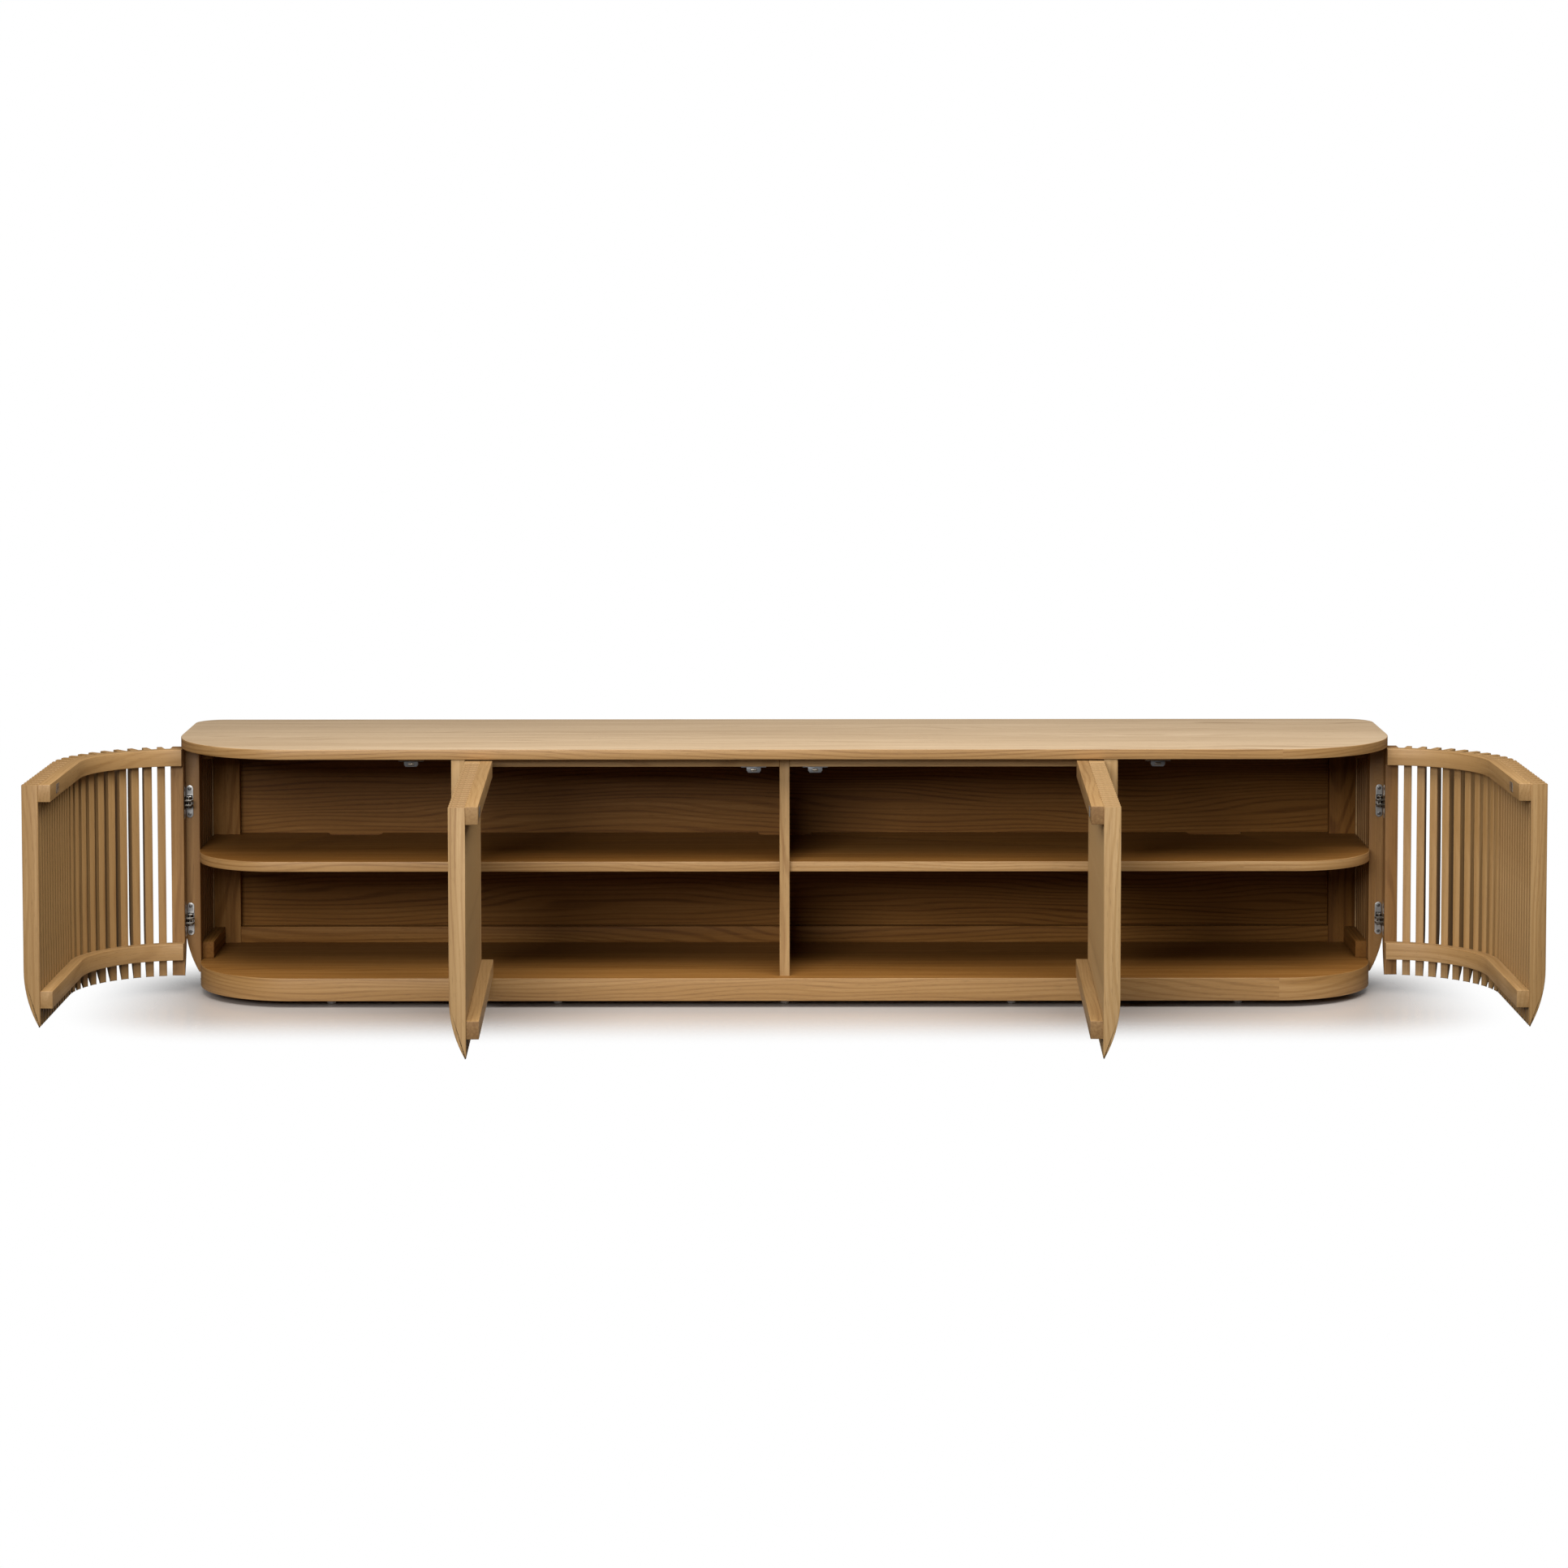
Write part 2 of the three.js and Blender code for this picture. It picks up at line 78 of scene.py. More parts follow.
REVEAL = 2 * MM
SLAT_WIDTH = 14.5 * MM
SLAT_NARROWING = 0.62
SLAT_DEPTH = 28 * MM
SLAT_TIP = 32 * MM
TAPER_RADIUS = 200 * MM
TAPER_START = 130 * MM
RAIL_DEPTH = 21 * MM
RAIL_HEIGHT = 30 * MM
RAIL_OUTER = REVEAL + SLAT_DEPTH
RAIL_INNER = RAIL_OUTER + RAIL_DEPTH
RAIL_SETBACK = 3 * MM
STILE_WIDTH = 23 * MM
DOOR_SLATS = 23
SIDE_SLATS = 6
DOOR_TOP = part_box("door_outer_left_grille")[1].z
DOOR_RAIL_LOW = 63.5 * MM
FIT = 0.3 * MM
REAR_POST_START = FRONT + 388 * MM
SIDES = {"left": -1, "right": 1}
print(f"cabinet {2 * HALF:.3f} x {BACK - FRONT:.3f} x {TOP:.3f} m")

# %% [markdown]
# Node trees read better as arithmetic. `Graph.add` makes any node from its type, its settings
# and the values of its sockets, and `Wire` wraps a socket so that `1 - mask` adds the Math
# node that it means. The same two classes serve shaders and Geometry Nodes.

# %% A small language for node trees
class Graph:
    def __init__(self, tree):
        self.tree = tree

    def add(self, kind, settings=None, sockets=None, output=0):
        node = self.tree.nodes.new(kind)
        for name, value in (settings or {}).items():
            if name == "stops":
                self.set_stops(node.color_ramp, value)
            else:
                setattr(node, name, value)
        for key, value in (sockets or {}).items():
            if isinstance(value, Wire):
                self.tree.links.new(value.socket, node.inputs[key])
            else:
                node.inputs[key].default_value = value
        return Wire(self, node.outputs[output]) if node.outputs else node

    @staticmethod
    def set_stops(ramp, stops):
        while len(ramp.elements) < len(stops):
            ramp.elements.new(0.5)
        for element, (position, colour) in zip(ramp.elements, stops):
            element.position = position
            element.color = colour


class Wire:
    def __init__(self, graph, socket):
        self.graph = graph
        self.socket = socket

    def math(self, operation, *others):
        sockets = dict(enumerate((self, *others)))
        return self.graph.add("ShaderNodeMath", {"operation": operation}, sockets)

    def reflected(self, operation, other):
        return self.graph.add("ShaderNodeMath", {"operation": operation}, {0: other, 1: self})

    def __add__(self, other):
        return self.math("ADD", other)

    def __radd__(self, other):
        return self.reflected("ADD", other)

    def __sub__(self, other):
        return self.math("SUBTRACT", other)

    def __rsub__(self, other):
        return self.reflected("SUBTRACT", other)

    def __mul__(self, other):
        return self.math("MULTIPLY", other)

    def __rmul__(self, other):
        return self.reflected("MULTIPLY", other)

    def __truediv__(self, other):
        return self.math("DIVIDE", other)

    def vector(self, operation, other):
        sockets = {0: self, 1: other}
        return self.graph.add("ShaderNodeVectorMath", {"operation": operation}, sockets)


# %% [markdown]
# Every material here is built from the same few parts: a noise that can be stretched along
# the fibres, a soft step between two values, and a mix of two colours. Writing them once
# keeps each recipe short enough to read.

# %% Parts of a material
def stretched_noise(graph, place, along, across, detail=3.0, roughness=0.55, distortion=0.0):
    scaled = place.vector("MULTIPLY", (along, across, across))
    sockets = {"Vector": scaled, "Scale": 1.0, "Detail": detail, "Roughness": roughness,
               "Distortion": distortion}
    return graph.add("ShaderNodeTexNoise", {"noise_dimensions": "3D"}, sockets)


def ramp(graph, value, low, high, start=0.0, end=1.0):
    settings = {"interpolation_type": "SMOOTHSTEP"}
    sockets = {"Value": value, "From Min": low, "From Max": high, "To Min": start, "To Max": end}
    return graph.add("ShaderNodeMapRange", settings, sockets)


def mix_colour(graph, factor, first, second, blend="MIX"):
    node = graph.tree.nodes.new("ShaderNodeMix")
    node.data_type = "RGBA"
    node.blend_type = blend
    colour_sockets = [s for s in node.inputs if s.type == "RGBA"]
    for socket, value in ((node.inputs[0], factor), *zip(colour_sockets, (first, second))):
        if isinstance(value, Wire):
            graph.tree.links.new(value.socket, socket)
        else:
            socket.default_value = value
    return Wire(graph, next(s for s in node.outputs if s.type == "RGBA"))


def new_material(name):
    material = bpy.data.materials.new(name)
    material.use_nodes = True
    material.node_tree.nodes.clear()
    return material, Graph(material.node_tree)


def finish_material(graph, sockets):
    shader = graph.add("ShaderNodeBsdfPrincipled", None, sockets)
    graph.add("ShaderNodeOutputMaterial", None, {"Surface": shader})


print("material parts ready")

# %% [markdown]
# Oak has growth rings that wander into long loops, broad bands, fine streaks and open pores.
# Each wooden piece carries an attribute called `grain`: how far along the fibres a point
# lies, and how far across them, in metres. The pattern follows that attribute and not the
# room, so grain runs along a rail, up a slat and round a bent edge band.

# %% The figure of oak
RINGS_CROSSED = 15


def figure_tone(graph, place, streaks, figure, pitch, contrast):
    """How dark the fibres are. A slow wander bends long flat loops out of straight rings."""
    wander = stretched_noise(graph, place, 1.1, 7.0, detail=2.0)
    across = graph.add("ShaderNodeSeparateXYZ", None, {0: place}, "Y")
    through = graph.add("ShaderNodeSeparateXYZ", None, {0: place}, "Z")
    rings = (across + through * 0.35 + (wander - 0.5) * RINGS_CROSSED * pitch) / pitch
    ring_wave = (rings * 6.2832).math("SINE") * 0.5 + 0.5
    ring_line = ramp(graph, ring_wave, 0.45, 1.0)
    bands = stretched_noise(graph, place, 1.6, 55.0, detail=3.0)
    cloud = stretched_noise(graph, place, 1.3, 4.0, detail=2.0)
    tone = ((bands - 0.5) * 0.95 + (streaks - 0.5) * 0.75) * contrast + ring_line * figure * 0.42
    return tone + (cloud - 0.5) * 0.4


def leaf_tone(graph, grain, leaf):
    """A small step of tone wherever one length of wood is joined to the next."""
    along = graph.add("ShaderNodeSeparateXYZ", None, {0: grain}, "X")
    number = (along / leaf).math("FLOOR")
    noise = graph.add("ShaderNodeTexWhiteNoise", {"noise_dimensions": "1D"}, {"W": number}, "Value")
    return (noise - 0.5) * 0.12


def times(colour, amount):
    return [channel * amount for channel in colour[:3]] + [1.0]


def sawn_end_colour(graph, place, shade, middle, dark):
    """Open pores as dots and arcs of rings, on a darker, thirstier surface."""
    dots = stretched_noise(graph, place, 1500.0, 1500.0, detail=2.0)
    arcs = stretched_noise(graph, place, 60.0, 260.0, detail=2.0)
    tone = ramp(graph, dots * 0.3 + arcs * 0.7 + (shade - 0.5) * 0.35, 0.3, 0.8)
    return mix_colour(graph, tone, times(middle, 0.90), times(dark, 0.85))


print("figure: rings, bands, joints and sawn ends")

# %% [markdown]
# One recipe turns that figure into a material. Three colours carry it from the palest fibre
# to the darkest ring. A second attribute, `end`, marks sawn ends, and a third, `shade`, sets
# each piece a little apart from its neighbour, as pieces from different planks are.

# %% The recipe for oak
def oak(name, light, middle, dark, figure=0.5, roughness=0.5, leaf=0.0, pitch=10 * MM, contrast=0.8,
        shine=0.42):
    material, graph = new_material(name)
    grain = graph.add("ShaderNodeAttribute", {"attribute_name": "grain"}, None, "Vector")
    shade = graph.add("ShaderNodeAttribute", {"attribute_name": "shade"}, None, "Fac")
    end = graph.add("ShaderNodeAttribute", {"attribute_name": "end"}, None, "Fac")
    offset = graph.add("ShaderNodeCombineXYZ", None, {0: shade * 7.3, 1: shade * 3.1, 2: shade * 5.7})
    place = grain.vector("ADD", offset)

    streaks = stretched_noise(graph, place, 5.0, 330.0, detail=4.0, roughness=0.6)
    pores = ramp(graph, stretched_noise(graph, place, 42.0, 1150.0, detail=2.0), 0.60, 0.74)
    flecks = ramp(graph, stretched_noise(graph, place, 60.0, 210.0, detail=1.0), 0.66, 0.78)
    tone = figure_tone(graph, place, streaks, figure, pitch, contrast)
    tone = tone + (shade - 0.5) * 0.22 + 0.40
    if leaf > 0.0:
        tone = tone + leaf_tone(graph, grain, leaf)

    fibres = mix_colour(graph, ramp(graph, tone, 0.05, 0.5), light, middle)
    fibres = mix_colour(graph, ramp(graph, tone, 0.45, 1.05), fibres, dark)
    fibres = mix_colour(graph, pores * 0.5, fibres, times(dark, 0.5))
    fibres = mix_colour(graph, flecks * 0.16, fibres, light)
    colour = mix_colour(graph, end, fibres, sawn_end_colour(graph, place, shade, middle, dark))

    gloss = (streaks - 0.5) * 0.16 + pores * 0.12 + end * 0.15 + roughness
    height = (streaks * 0.35 - pores) * (1.0 - end)
    normal = graph.add("ShaderNodeBump", None,
                       {"Strength": 0.35, "Distance": 0.00025, "Height": height})
    finish_material(graph, {"Base Color": colour, "Roughness": gloss, "Normal": normal,
                            "Specular IOR Level": shine})
    return material


print("oak recipe ready")

# %% [markdown]
# The wood is all oak but not all one colour. The top is pale and the edge bands are golden. The
# boards inside are a dark brown that is painted shade of the sheltered inside. The hinge posts,
# outer door stiles and side slats take a darker copy of the solid oak, painted shade under the
# top and beside the doors, and the plinth's edge a darker copy of the edge band, painted shade
# of its low, set-back face. The solid oak, slats and rails lie in between.

# %% Eight oaks
OAK_TOP = oak("oak_top_veneer", (0.530, 0.395, 0.255, 1), (0.450, 0.325, 0.200, 1),
              (0.315, 0.210, 0.118, 1), figure=0.7, roughness=0.42, pitch=12 * MM, contrast=1.1)
OAK_VENEER = oak("oak_veneer", (0.440, 0.264, 0.112, 1), (0.350, 0.194, 0.070, 1),
                 (0.215, 0.105, 0.030, 1), figure=0.7, roughness=0.46, pitch=8 * MM, contrast=0.9)
# The inside oak is a much darker copy of the edge veneer: painted shade of the sheltered inside.
OAK_INSIDE_PAINTED_SHADE = oak("oak_inside_veneer_painted_shade", (0.275, 0.132, 0.036, 1), (0.200, 0.086, 0.018, 1),
                 (0.110, 0.040, 0.007, 1), figure=0.75, roughness=0.5, pitch=8.5 * MM, contrast=0.9,
                 shine=0.12)
OAK_SOLID = oak("oak_solid", (0.480, 0.308, 0.142, 1), (0.390, 0.234, 0.094, 1),
                (0.260, 0.136, 0.046, 1), figure=0.55, roughness=0.5, pitch=9 * MM, contrast=0.95)
OAK_SLAT = oak("oak_outer_slat", (0.400, 0.240, 0.098, 1), (0.320, 0.180, 0.064, 1),
               (0.205, 0.098, 0.028, 1), figure=0.55, roughness=0.5, pitch=9 * MM, contrast=0.95)
# The post oak is a darker copy of the solid oak: painted shade under the top and beside the doors.
OAK_POST_PAINTED_SHADE = oak("oak_post_painted_shade", (0.300, 0.160, 0.052, 1), (0.222, 0.108, 0.030, 1),
               (0.140, 0.060, 0.014, 1), figure=0.55, roughness=0.5, pitch=9 * MM, contrast=0.9)
# The plinth oak is a darker copy of the edge veneer: painted shade of the plinth's low, set-back face.
OAK_PLINTH_PAINTED_SHADE = oak("oak_plinth_painted_shade", (0.370, 0.216, 0.082, 1), (0.290, 0.156, 0.050, 1),
                 (0.180, 0.084, 0.022, 1), figure=0.7, roughness=0.48, pitch=8 * MM)
OAK_RAIL = oak("oak_rail", (0.410, 0.248, 0.106, 1), (0.330, 0.188, 0.070, 1),
               (0.215, 0.106, 0.032, 1), figure=0.5, roughness=0.48, pitch=8 * MM, contrast=0.95,
               leaf=0.148)
print("oak: top, edge, inside, solid, slat, post, plinth and rail")

# %% [markdown]
# The fittings are small, so their finish has to be right close up: satin nickel with fine
# brushing on the hinge plates, darker steel links, a grey zinc casting for the catches, and
# nylon glides. Brushing is a noise that is long one way and short the other.

# %% Metal and plastic
def metal(name, colour, roughness, brushed=0.10, metallic=1.0):
    material, graph = new_material(name)
    place = graph.add("ShaderNodeTexCoord", None, None, "Object")
    brushing = stretched_noise(graph, place, 2600.0, 180.0, detail=2.0)
    stains = stretched_noise(graph, place, 70.0, 70.0, detail=3.0)
    shown = mix_colour(graph, ramp(graph, stains, 0.42, 0.75), colour, times(colour, 0.72))
    gloss = (brushing - 0.5) * brushed + (stains - 0.5) * 0.12 + roughness
    normal = graph.add("ShaderNodeBump", None,
                       {"Strength": 0.12, "Distance": 0.0001, "Height": brushing})
    finish_material(graph, {"Base Color": shown, "Roughness": gloss, "Normal": normal,
                            "Metallic": metallic})
    return material


def moulded(name, colour, roughness):
    material, graph = new_material(name)
    place = graph.add("ShaderNodeTexCoord", None, None, "Object")
    speckle = stretched_noise(graph, place, 900.0, 900.0, detail=3.0)
    dirt = stretched_noise(graph, place, 160.0, 160.0, detail=2.0)
    shown = mix_colour(graph, ramp(graph, dirt, 0.5, 0.8) * 0.4, colour, times(colour, 0.7))
    normal = graph.add("ShaderNodeBump", None,
                       {"Strength": 0.2, "Distance": 0.0001, "Height": speckle})
    finish_material(graph, {"Base Color": shown, "Roughness": (speckle - 0.5) * 0.1 + roughness,
                            "Normal": normal})
    return material


NICKEL = metal("satin_nickel", (0.68, 0.67, 0.65, 1), 0.34)
LINK_STEEL = metal("link_steel", (0.24, 0.215, 0.18, 1), 0.30)
SCREW_STEEL = metal("screw_steel", (0.16, 0.155, 0.15, 1), 0.34)
CATCH_ZINC = metal("catch_zinc", (0.20, 0.205, 0.215, 1), 0.42, metallic=0.6)
# The well steel is near black: painted shade deep in the hinge cup's hollow.
WELL_PAINTED_SHADE = metal("well_painted_shade", (0.055, 0.052, 0.048, 1), 0.5, metallic=0.5)
PIN_STEEL = metal("pin_steel", (0.13, 0.09, 0.055, 1), 0.6, metallic=0.2)
NYLON = moulded("glide_nylon", (0.74, 0.73, 0.71, 1), 0.5)
print("fittings: nickel, link steel, screw steel, catch zinc, pin steel, nylon")

# %% [markdown]
# Round corners are arcs of points. A board's edge is eased by moving its outline inwards, so
# each corner needs the direction that moves both of its sides by the same amount.

# %% Arcs and outlines
piece_count = 0


def arc(x, y, radius, start, end, steps):
    angles = np.linspace(math.radians(start), math.radians(end), steps + 1)
    return [(x + radius * math.cos(a), y + radius * math.sin(a)) for a in angles]


def next_shade():
    global piece_count
    piece_count += 1
    return (piece_count * 0.61803) % 1.0


def corner_normals(points):
    ahead = np.roll(points, -1, 0) - points
    ahead /= np.linalg.norm(ahead, axis=1, keepdims=True)
    behind = np.roll(ahead, 1, 0)
    out_ahead = np.stack((ahead[:, 1], -ahead[:, 0]), 1)
    out_behind = np.stack((behind[:, 1], -behind[:, 0]), 1)
    spread = 1.0 + np.sum(out_ahead * out_behind, axis=1, keepdims=True)
    return (out_ahead + out_behind) / np.maximum(spread, 0.35), out_ahead


def mesh_object(name, mesh, material, smooth=True):
    mesh.materials.append(material)
    mesh.polygons.foreach_set("use_smooth", [smooth] * len(mesh.polygons))
    piece = bpy.data.objects.new(name, mesh)
    bpy.context.scene.collection.objects.link(piece)
    return piece


print("outlines ready")

# %% [markdown]
# Almost every wooden piece is an outline with a thickness: a shelf, a rail, even a slat, whose
# outline is its side view. `board` raises such an outline, eases both rims with a few narrow
# facets as sandpaper would, and writes the grain attribute as it goes. The outline's first
# axis is the way the grain runs. An edge band instead follows the outline.

# %% The board maker
EASE_STEPS = 3
BAND_LAYER = 0.05       # puts an edge band's grain in another layer than the face's
END_FACING = 0.75       # a side that faces this much along the grain is a sawn end


def board(name, outline, low, high, material, ease=0.8 * MM, banded=False, turn=None, unroll=None):
    points = np.array(outline)
    count = len(points)
    normals, out_ahead = corner_normals(points)
    steps = np.linspace(0.0, math.pi / 2, EASE_STEPS + 1)
    rims = [(ease * (1 - math.sin(a)), low + ease * (1 - math.cos(a))) for a in steps]
    rims += [(inset, high - (z - low)) for inset, z in reversed(rims)]
    rings = [(points - normals * inset, z) for inset, z in rims]
    verts = np.concatenate([np.column_stack((ring, np.full(count, z))) for ring, z in rings])
    side_lengths = np.linalg.norm(np.roll(points, -1, 0) - points, axis=1)
    travelled = np.concatenate(([0.0], np.cumsum(side_lengths)))

    def flat_grain(index):
        x, y, z = verts[index]
        return (*(unroll(x, y) if unroll else (x, y)), z)

    faces = [list(range(count))[::-1]]
    grains = [[flat_grain(i) for i in faces[0]]]
    ends = [0.0]
    for ring in range(len(rings) - 1):
        for j in range(count):
            k = (j + 1) % count
            quad = [ring * count + j, ring * count + k, (ring + 1) * count + k, (ring + 1) * count + j]
            faces.append(quad)
            if banded:
                along = (travelled[j], travelled[j + 1], travelled[j + 1], travelled[j])
                grains.append([(s, verts[i][2], BAND_LAYER) for s, i in zip(along, quad)])
                ends.append(0.0)
            else:
                grains.append([flat_grain(i) for i in quad])
                ends.append(1.0 if abs(out_ahead[j][0]) > END_FACING and not unroll else 0.0)
    last = (len(rings) - 1) * count
    faces.append(list(range(last, last + count)))
    grains.append([flat_grain(i) for i in faces[-1]])
    ends.append(0.0)

    mesh = bpy.data.meshes.new(name)
    mesh.from_pydata([tuple(v) for v in verts], [], faces)
    grain = mesh.attributes.new("grain", "FLOAT_VECTOR", "CORNER")
    grain.data.foreach_set("vector", [c for face in grains for corner in face for c in corner])
    end = mesh.attributes.new("end", "FLOAT", "CORNER")
    end.data.foreach_set("value", [e for face, e in zip(faces, ends) for _ in face])
    shade = mesh.attributes.new("shade", "FLOAT", "POINT")
    shade.data.foreach_set("value", [next_shade()] * len(verts))
    sharp = mesh.attributes.new("sharp_face", "BOOLEAN", "FACE")
    sharp.data.foreach_set("value", [face_index in (0, len(faces) - 1) for face_index in range(len(faces))])
    if turn is not None:
        mesh.transform(turn)
        if turn.determinant() < 0:
            mesh.flip_normals()
    mesh.validate()
    piece = mesh_object(name, mesh, material)
    mesh.set_sharp_from_angle(angle=math.radians(40))
    return piece


print("board maker ready")

# %% [markdown]
# A few small helpers finish the set: a second veneer for a panel's edge, the mirror image of
# an outline, and the calls that tie a piece to the design.

# %% Small helpers for boards
def edge_banded(piece, edge_material):
    """Gives the sides of a lying panel their own veneer."""
    piece.data.materials.append(edge_material)
    for polygon in piece.data.polygons:
        polygon.material_index = 1 if abs(polygon.normal.z) < 0.9 else 0


def rectangle(x0, x1, y0, y1):
    return [(x0, y0), (x1, y0), (x1, y1), (x0, y1)]


def sided(outline, side):
    return outline if side > 0 else [(-x, y) for x, y in reversed(outline)]


def keep(piece, body, *nodes, slot=None):
    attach(piece, body)
    if nodes:
        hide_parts(*nodes)
    return piece


print("board helpers ready")

# %% [markdown]
# Upright boards and slats use the same maker. These matrices lay the outline's first axis, the
# grain, along the world axis that the real piece's grain follows.

# %% Which way a board lies
UPRIGHT_ACROSS = Matrix(((0, 0, 1, 0), (0, 1, 0, 0), (1, 0, 0, 0), (0, 0, 0, 1)))
WALL_ALONG = Matrix(((1, 0, 0, 0), (0, 0, -1, 0), (0, 1, 0, 0), (0, 0, 0, 1)))
SLAT_LOCAL = Matrix(((0, 1, 0, 0), (0, 0, 1, 0), (1, 0, 0, 0), (0, 0, 0, 1)))
FRONT_TO_BACK = Matrix(((0, -1, 0, 0), (1, 0, 0, 0), (0, 0, 1, 0), (0, 0, 0, 1)))


def cabinet_plan(half, front, back, front_radius, back_radius, steps=28):
    inner_front = half - front_radius
    inner_back = half - back_radius
    return (arc(inner_front, front + front_radius, front_radius, -90, 0, steps)
            + arc(inner_back, back - back_radius, back_radius, 0, 90, steps // 2)
            + arc(-inner_back, back - back_radius, back_radius, 90, 180, steps // 2)
            + arc(-inner_front, front + front_radius, front_radius, 180, 270, steps))


print("board directions: upright, along a wall, slat, front to back")


# %% [markdown]
# The top is one veneered panel whose long grain crosses its whole length, with a bent edge
# band round it. The plinth panel is the same shape, set in behind the slats. Both take
# `banded=True`, so their edge grain follows the curve.

# %% Top and plinth
PANEL_EASE = 1.0 * MM
top_plan = cabinet_plan(HALF, FRONT, BACK, FRONT_RADIUS, BACK_RADIUS)
top_core = board("top_board", top_plan, UNDERSIDE, TOP, OAK_TOP, PANEL_EASE, banded=True)
keep(top_core, "cabinet", "top_panel", slot="oak_top")
base_radius = FRONT_RADIUS - (HALF - BASE_HALF)
base_plan = cabinet_plan(BASE_HALF, BASE_FRONT, base_high.y, base_radius, BASE_BACK_RADIUS)
# The plinth board's top takes the dark inside oak, painted shade inside the case.
base_core = board("plinth_board", base_plan, base_low.z, base_high.z, OAK_INSIDE_PAINTED_SHADE, PANEL_EASE, banded=True)
keep(base_core, "cabinet", "base_panel", slot="oak_veneer")
edge_banded(top_core, OAK_VENEER)
# The plinth's edge takes the darker plinth oak, painted shade of its low face.
edge_banded(base_core, OAK_PLINTH_PAINTED_SHADE)
print("top and plinth:", len(top_core.data.polygons), "and", len(base_core.data.polygons), "faces")

# %% [markdown]
# Inside the case the boards are plain rectangles, so each one is read straight from its box.
# Only the way the grain runs differs: along the cabinet for the back and its rails, upright
# for the partition and posts.

# %% Back, rails and partition
def wall_board(name, node, material, slot):
    low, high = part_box(node)
    outline = rectangle(low.x, high.x, low.z, high.z)
    piece = board(name, outline, -high.y, -low.y, material, turn=WALL_ALONG)
    return keep(piece, "cabinet", node, slot=slot)


# The back and its rails take the dark inside oak, painted shade inside the case.
wall_board("back_board", "back_panel", OAK_INSIDE_PAINTED_SHADE, "oak_veneer")
wall_board("lower_back_rail", "back_rail_bottom", OAK_INSIDE_PAINTED_SHADE, "oak_veneer")
wall_board("upper_back_rail", "back_rail_top", OAK_INSIDE_PAINTED_SHADE, "oak_veneer")
for word in SIDES:
    wall_board(f"catch_rail_board_{word}", f"catch_rail_{word}", OAK_SOLID, "oak_solid")

part_low, part_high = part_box("centre_partition")
rail_low, rail_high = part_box("back_rail_bottom")
upper_rail_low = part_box("back_rail_top")[0]
partition_outline = [
    (part_low.z, part_low.y), (part_high.z, part_low.y), (part_high.z, rail_low.y),
    (upper_rail_low.z, rail_low.y), (upper_rail_low.z, part_high.y),
    (rail_high.z, part_high.y), (rail_high.z, rail_low.y), (part_low.z, rail_low.y)]
partition = board("partition_board", partition_outline[::-1], part_low.x, part_high.x, OAK_SOLID,
                  turn=UPRIGHT_ACROSS)
keep(partition, "cabinet", "centre_partition", slot="oak_veneer")
print("case boards made")

# %% [markdown]
# A shelf has a large rounded corner, so that it follows the curved door, and notches in its
# back edge for cables. Half of one notch lies against the partition.

# %% Shelves
SHELF_RADIUS = 150 * MM
NOTCH_X = 805 * MM
NOTCH_HALF = 50 * MM
NOTCH_DEPTH = 30 * MM
NOTCH_RADIUS = 15 * MM


def shelf_outline(low, high, stile_x, stile_y):
    lip = high.y - NOTCH_DEPTH
    bend = lip + NOTCH_RADIUS
    return ([(low.x, low.y)]
            + arc(high.x - SHELF_RADIUS, low.y + SHELF_RADIUS, SHELF_RADIUS, -90, 0, 24)
            + [(high.x, stile_y), (stile_x, stile_y), (stile_x, high.y), (NOTCH_X + NOTCH_HALF, high.y)]
            + arc(NOTCH_X + NOTCH_HALF - NOTCH_RADIUS, bend, NOTCH_RADIUS, 0, -90, 6)
            + arc(NOTCH_X - NOTCH_HALF + NOTCH_RADIUS, bend, NOTCH_RADIUS, -90, -180, 6)
            + [(NOTCH_X - NOTCH_HALF, high.y), (NOTCH_HALF, high.y)]
            + arc(NOTCH_HALF - NOTCH_RADIUS, bend, NOTCH_RADIUS, 0, -90, 6)
            + [(low.x, lip)])


shelf_low, shelf_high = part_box("shelf_right")
stile_low_x = rail_high.x
for word, side in SIDES.items():
    outline = sided(shelf_outline(shelf_low, shelf_high, stile_low_x, rail_low.y), side)
    # Shelves take the dark inside oak, painted shade under the top.
    shelf = board(f"shelf_board_{word}", outline, shelf_low.z, shelf_high.z, OAK_INSIDE_PAINTED_SHADE, banded=True)
    edge_banded(shelf, OAK_VENEER)
    keep(shelf, "cabinet", f"shelf_{word}", slot="oak_veneer")
print("shelves made")

# %% [markdown]
# A slat's outline is its side view: straight down the face, then a long curve inwards to a
# blunt tip that covers the edge of the plinth. Posts and hinge stiles are the same shape,
# only wider. The piece is made standing at the origin with its face towards -X.

# %% Slats, posts and stiles
TIP_ROUND = 1.6 * MM
TAPER_STEPS = 10


def side_view(depth, top, soft=1.0 * MM):
    sweep = math.degrees(math.asin((TAPER_START - SLAT_TIP) / TAPER_RADIUS))
    taper = [(TAPER_START - TAPER_RADIUS * math.sin(math.radians(a)),
              TAPER_RADIUS * (1 - math.cos(math.radians(a))))
             for a in np.linspace(0, sweep, TAPER_STEPS)]
    tip_z, tip_depth = taper[-1]
    taper[-1] = (tip_z + TIP_ROUND, tip_depth - 0.5 * TIP_ROUND)
    ring = [(top, soft), (top - soft, 0.0)] + taper
    ring += [(tip_z + 0.3 * TIP_ROUND, tip_depth + 0.3 * TIP_ROUND), (tip_z, tip_depth + 0.9 * TIP_ROUND),
             (tip_z, depth - soft), (tip_z + soft, depth), (top - soft, depth), (top, depth - soft)]
    return ring[::-1]


